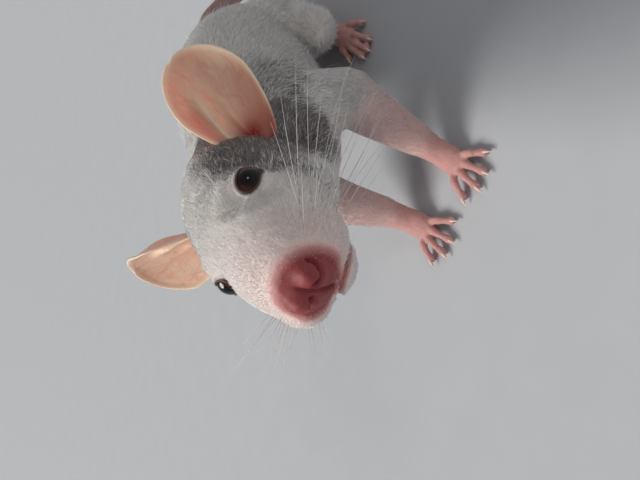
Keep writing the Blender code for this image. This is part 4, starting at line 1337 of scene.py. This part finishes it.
def make_whiskers(points, faces):
    """Five rows of whiskers on each pad, longer towards the back, with a few over the eye."""
    draw = np.random.default_rng(5)
    normals = surface_normals(points, faces)
    head = to_head(points)
    rows = []
    for side in (-1, 1):
        for row in range(5):
            for column in range(4 + (row > 1)):
                down = -2.6 - 1.75 * row - 0.25 * column
                wanted = np.array([side * 7.5, -36.8 + 2.5 * column + 0.3 * row, down])
                k = np.linalg.norm((head - wanted) * [0.6, 1, 1], axis=1).argmin()
                fan = np.array([side * 0.95, -0.15 + 0.13 * column, 0.36 - 0.20 * row])
                fan = unit(fan + 0.08 * draw.standard_normal(3)) @ HEAD_AXES
                lean = np.array([side * 0.75, 0.55 + 0.08 * column, 0.14 - 0.20 * row])
                lean = unit(lean + 0.12 * draw.standard_normal(3)) @ HEAD_AXES
                long = 11.0 + 4.2 * column + 2.5 * draw.random()
                rows.append((points[k] - normals[k] * 0.3, fan, lean, long))
        k = reach_from(head, (side * 8.2, -22.5, 9.2)).argmin()
        fan = unit([side * 0.5, 0.1, 0.85]) @ HEAD_AXES
        lean = unit([side * 0.5, 0.8, 0.25]) @ HEAD_AXES
        rows.append((points[k], fan, lean, 11.0))
    root, start, bend, length = map(np.array, zip(*rows))
    made = bristles(root, start, bend, length, 0.032 + 0.0014 * length, draw.random(len(root)))
    add_piece("whiskers", made[:2], WHISKER, {"lock": made[2]})


TAIL_HAIRS = 4200
TAIL_STATIONS = 560
TAIL_ROOT = 8.6 / 237.0
TAIL_RING = 1.25
TAIL_UPWARD = (0.1, 0.2, 1.0)


def tail_line():
    """The tail's middle line, its radius, which shrinks from behind its root, and the share of its length."""
    path = curve_through(TAIL_PATH, TAIL_STATIONS)
    share = np.linspace(0, 1, TAIL_STATIONS)
    radius = 4.75 - 3.85 * np.clip((share - TAIL_ROOT) / (1 - TAIL_ROOT), 0, 1) ** 0.92
    path[:, 2] = np.maximum(path[:, 2], radius - 0.02)
    return path, radius, share


def make_tail():
    """A tapering tube of close rings along the tail's path, and short hairs that lie back along it."""
    path, radius, share = tail_line()
    length = np.linalg.norm(np.diff(path, axis=0), axis=1).sum()
    ripple = 0.035 * np.cos(share * length * 2 * math.pi / TAIL_RING)
    sides, domes = 40, (3, 5)
    rings = tube(path, radius + ripple, None, sides, TAIL_UPWARD, domes)
    level = np.concatenate([np.zeros(domes[0]), share, np.ones(domes[1])])
    around = np.arange(sides) / sides
    along = np.stack(np.broadcast_arrays(around[None], level[:, None] * length / 100), -1).reshape(-1, 2)
    along = np.concatenate([along, [[0.5, 0.0]], [[0.5, length / 100]]])
    top = np.concatenate([np.tile(np.sin(around * 2 * math.pi), len(rings)), [0, 0]])
    body = np.concatenate([np.repeat(level, sides), [0.0, 1.0]])
    dark = (0.35 * ease(-0.2, 1.0, top) + 0.35 * ease(0.45, 0.0, body)).clip(0, 1)
    nodes = ["tail_base", "tail_middle", "tail_tip"]
    tone = {"tone": np.repeat(dark[:, None], 3, 1)}
    add_piece("tail", loft(rings), TAIL_SKIN, tone, {"Along": along}, nodes)
    draw = np.random.default_rng(8)
    at = (0.05 + 0.95 * draw.random(TAIL_HAIRS)) * (len(path) - 2)
    k = at.astype(int)
    run = unit(np.gradient(path, axis=0))[k]
    across = unit(np.cross(TAIL_UPWARD, run))
    up = np.cross(run, across)
    angle = draw.random(TAIL_HAIRS) * 2 * math.pi
    out = turned(angle, across, up)
    root = path[k] + out * (radius[k] - 0.05)[:, None]
    keep = root[:, 2] > 0.5
    root, out, run, k, angle = root[keep], out[keep], run[keep], k[keep], angle[keep]
    number = len(root)
    long = 1.3 + 0.9 * draw.random(number) + 1.4 * ease(0.14, 0.04, share[k])
    sway = np.cross(out, run) * (0.25 * draw.standard_normal(number))[:, None]
    place = np.stack([0.01 + 0.98 * angle / (2 * math.pi), 0.01 + 0.98 * share[k]], 1)
    grey = 0.25 + 0.3 * draw.random(number)
    made = tufts(root, out, run, long, 0.07, 0.30 * long, sway, grey, draw.random(number), 0.25, place)
    add_tufts("tail_hairs", made)


def make_ear_down(side, word, sheet):
    """Very short fine hairs over both faces of the ear, closer along its rim and near its root."""
    draw = np.random.default_rng(31 + side)
    front, back, along, sideways, faces = sheet
    radial = np.hypot(2 * along - 1, sideways)
    outside = unit(front - back)
    pieces = []
    rise = unit(mirrored(EAR_RISE[side], side)) @ HEAD_AXES
    for surface, normal, amount in ((front, outside, 1.2), (back, -outside, 2.6)):
        density = amount * (0.35 + 1.4 * ease(0.9, 1.0, radial) + 0.5 * ease(0.4, 0.1, along))
        density = density * ease(0.0, 0.2, along)
        corners, share = scattered(surface, faces, density, draw)
        root = at_roots(surface, corners, share)
        out = unit(at_roots(normal, corners, share))
        number = len(root)
        away = root - (from_head(mirrored(EAR_ROOTS[side], side)) - rise * 3.0)
        lie = unit(away - out * (away * out).sum(1, keepdims=True))
        length = 0.7 + 0.6 * draw.random(number)
        sway = np.cross(out, lie) * (0.2 * draw.standard_normal(number))[:, None]
        at = np.stack([at_roots(sideways, corners, share) * 0.49 + 0.5, at_roots(along, corners, share)], 1)
        at[:, 0] = 0.01 + 0.48 * at[:, 0] + (0.5 if amount > 2 else 0.0)
        at[:, 1] = 0.01 + 0.98 * at[:, 1]
        random = draw.random(number)
        pieces.append(tufts(root, out, lie, length, 0.055, 0.3 * length, sway, 0.05, random, 0.4, at))
    lock, uv = (np.concatenate([made[k] for made in pieces]) for k in (2, 3))
    add_tufts(f"ear_down_{word}", (*joined([made[:2] for made in pieces]), lock, uv))


def make_rat():
    """Every piece of the animal, from the skin outwards."""
    fleshy, claws = limb_ends()
    points, faces = make_skin(fleshy)
    head = to_head(points)
    busy = ease(-8.0, -20.0, head[:, 1]) * ease(-26.0, -20.0, head[:, 2])
    busy = np.maximum(busy, 0.9 * ease(11.0, 7.0, points[:, 2]))
    thin_points, thin_faces = thinned(points, faces, busy, SKIN_TRIANGLES)
    colours = {"tone": np.stack(tones(thin_points), 1)}
    add_piece("skin", (thin_points, thin_faces), SKIN, colours, None, FLESH + PAWS)
    make_coat(thin_points, thin_faces)
    make_whiskers(points, faces)
    for foot, shape in claws.items():
        quick = np.repeat(0.6 * ease(0.6, 1.6, shape[0][:, 2:]), 3, 1)
        add_piece(f"claws_{foot}", shape, CLAW, {"tone": quick})
    for side, word in HANDS:
        make_ear_down(side, word, make_ear(side, word))
        make_eye(side, word)
        make_lid_margin(side, word)
    make_tail()


FLOOR_REACH = 14
FLOOR_DROP = 0.0002


def make_floor():
    """A wide square just under the feet."""
    square = np.array([(-1, -1), (1, -1), (1, 1), (-1, 1)]) * FLOOR_REACH
    mesh = bpy.data.meshes.new("floor")
    mesh.from_pydata([(x, y, -FLOOR_DROP) for x, y in square.tolist()], [], [(0, 1, 2, 3)])
    mesh.materials.append(floor_finish())
    floor = bpy.data.objects.new("floor", mesh)
    bpy.context.scene.collection.objects.link(floor)


# Camera and lights.

SIGHT_TURN = math.radians(34.0)
SIGHT_DOWN = math.radians(34.0)
FOCAL_PIXELS = 585.0
PHOTO_PIXELS = 640.0
SENSOR = 36.0
CAMERA_FROM_HEAD = np.array([56.0, -100.0, 56.8])
LEVEL = np.array([-math.sin(SIGHT_TURN), math.cos(SIGHT_TURN), 0.0])
ACROSS = np.array([math.cos(SIGHT_TURN), math.sin(SIGHT_TURN), 0.0])
SIGHT = LEVEL * math.cos(SIGHT_DOWN) - UP * math.sin(SIGHT_DOWN)
ABOVE = np.cross(ACROSS, SIGHT)


def make_camera():
    """The camera stands on its side, as the photograph was taken: its right is the scene's down."""
    data = bpy.data.cameras.new("camera")
    data.sensor_width = SENSOR
    data.lens = SENSOR * FOCAL_PIXELS / PHOTO_PIXELS
    data.clip_start = 0.005
    data.clip_end = 60.0
    camera = bpy.data.objects.new("camera", data)
    axes = np.stack([-ABOVE, ACROSS, -SIGHT], 1)
    place = Matrix(axes.tolist()).to_4x4()
    place.translation = Vector((HEAD_AT + CAMERA_FROM_HEAD + SHIFT) * MM)
    camera.matrix_world = place
    bpy.context.scene.collection.objects.link(camera)
    bpy.context.scene.camera = camera


def make_light(name, toward, spread, power, colour):
    """Soft daylight from a direction, over a cone so many degrees wide."""
    data = bpy.data.lights.new(name, "SUN")
    data.angle = math.radians(spread)
    data.energy = power
    data.color = colour
    light = bpy.data.objects.new(name, data)
    light.rotation_euler = Vector(unit(toward)).to_track_quat("Z", "Y").to_euler()
    bpy.context.scene.collection.objects.link(light)


SKY_LOW = 0.47
SKY_HIGH = 0.28


def make_lights():
    """A window high to one side, a weak sun from the other, and a sky that dims towards the zenith."""
    make_light("window", -ACROSS * 0.72 + UP * 0.85 + LEVEL * 0.5, 28.0, 2.75, (1.0, 0.97, 0.925))
    make_light("room", ACROSS * 0.7 + UP * 0.8 - LEVEL * 0.7, 14.0, 0.25, (1.0, 0.95, 0.92))
    world = bpy.data.worlds.new("studio")
    world.use_nodes = True
    nodes, link = world.node_tree.nodes, world.node_tree.links.new
    shade = nodes["Background"]
    shade.inputs["Color"].default_value = (0.94, 0.965, 1.0, 1.0)
    way = nodes.new("ShaderNodeSeparateXYZ")
    link(nodes.new("ShaderNodeTexCoord").outputs["Generated"], way.inputs[0])
    fade = nodes.new("ShaderNodeMapRange")
    for socket, value in (("From Max", 0.7), ("To Min", SKY_LOW), ("To Max", SKY_HIGH)):
        fade.inputs[socket].default_value = value
    link(way.outputs["Z"], fade.inputs["Value"])
    link(fade.outputs["Result"], shade.inputs["Strength"])
    bpy.context.scene.world = world
    bpy.context.scene.view_settings.view_transform = "Standard"


make_rat()
make_floor()
make_camera()
make_lights()
